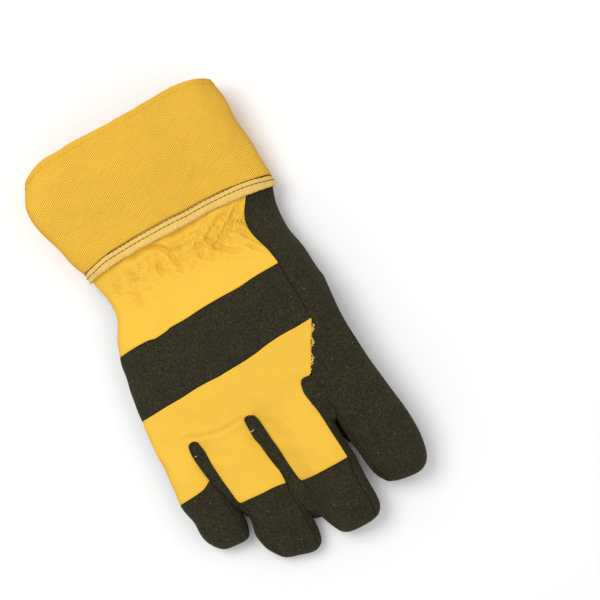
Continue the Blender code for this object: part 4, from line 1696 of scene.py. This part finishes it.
@dataclass(frozen=True)
class Lamp:
    """A round soft lamp that shines on the glove.

    Attributes:
        name: its name.
        place: where it hangs.
        size: its diameter.
        power: its power in watts.
    """

    name: str
    place: tuple[float, float, float]
    size: float
    power: float

    def hang(self) -> None:
        """Hangs the lamp and turns it to the origin."""
        lamp = bpy.data.lights.new(self.name, "AREA")
        lamp.shape, lamp.size, lamp.energy = "DISK", self.size, self.power
        holder = new_object(self.name, lamp)
        holder.location = self.place
        holder.rotation_euler = (-Vector(self.place)).to_track_quat("-Z", "Y").to_euler()


@dataclass(frozen=True)
class Studio:
    """A pale floor, soft light from the picture's upper left, and the camera straight above.

    Attributes:
        lamps: the lamps.
        sky: brightness of the white sky.
        picture_turn: degrees by which the picture's right-hand side is turned from +X.
        centre: the place in the middle of the picture.
        picture_width: width of what the picture shows at the glove's height.
        lens: focal length in millimetres.
        sensor: width of the sensor in millimetres.
    """

    lamps: tuple[Lamp, ...] = (Lamp("key", (-0.36, 0.6, 1.14), 0.8, 8.8), Lamp("fill", (0.9, -0.5, 1.0), 1.2, 1.6))
    sky: float = 0.7
    picture_turn: float = -28.15
    centre: tuple[float, float, float] = (0.0432, -0.0052, 0.022)
    picture_width: float = 0.3334
    lens: float = 110.0
    sensor: float = 36.0

    def build(self) -> None:
        """Makes the floor, the lights and the camera."""
        self.lay_floor()
        self.light_sky()
        for lamp in self.lamps:
            lamp.hang()
        self.set_camera()
        view = bpy.context.scene.view_settings
        view.view_transform, view.look = "Standard", "None"

    def lay_floor(self) -> None:
        """A round paper-white floor."""
        bpy.ops.mesh.primitive_circle_add(vertices=96, radius=3.0, fill_type="NGON", location=(0.0, 0.0, 0.0))
        floor = bpy.context.view_layer.objects.active
        floor.name = "floor"
        material, desk, shader = surface("paper_floor")
        patches = Mottle.use(desk, vector=desk.place(), size=0.4)["Mask"]
        desk.fill(shader, {"Base Color": desk.mix(patches, (0.93, 0.93, 0.93, 1.0), (0.95, 0.95, 0.95, 1.0)),
                           "Roughness": desk.spread(patches, 0.0, 1.0, 0.8, 0.9), "Specular IOR Level": 0.1})
        floor.data.materials.append(material)
        floor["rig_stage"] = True

    def light_sky(self) -> None:
        """A white sky all round."""
        world = bpy.data.worlds.new("studio")
        bpy.context.scene.world = world
        world.use_nodes = True
        background = world.node_tree.nodes["Background"]
        background.inputs["Color"].default_value = (1.0, 1.0, 1.0, 1.0)
        background.inputs["Strength"].default_value = self.sky

    def set_camera(self) -> None:
        """The camera looks straight down, turned as the photograph is."""
        lens = bpy.data.cameras.new("camera")
        lens.lens, lens.sensor_width = self.lens, self.sensor
        lens.clip_start, lens.clip_end = 0.01, 50.0
        camera = new_object("camera", lens)
        x, y, z = self.centre
        camera.location = (x, y, z + self.picture_width * self.lens / self.sensor)
        camera.rotation_euler = (0.0, 0.0, math.radians(self.picture_turn))
        bpy.context.scene.camera = camera


def report(assembly: object, pieces: Iterable[Piece]) -> None:
    """Logs the pieces of a sub-assembly."""
    for piece in pieces:
        LOG.info("%s: %s, %d faces", type(assembly).__name__, piece.name, len(piece.data.polygons))


def main() -> None:
    """Builds every sub-assembly in order."""
    logging.basicConfig(level=logging.INFO, format="%(name)s: %(message)s")
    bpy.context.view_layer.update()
    drape = Drape(TopSurface())
    panels: list[Piece] = []
    for assembly in (Cuff(), Back(), Fingertips(), Palm()):
        pieces = assembly.build(drape)
        report(assembly, pieces)
        panels += [piece for piece in pieces if "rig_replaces" in piece]
    trimmings = Trimmings()
    report(trimmings, trimmings.build(panels))
    Studio().build()


if __name__ == "__main__":
    main()
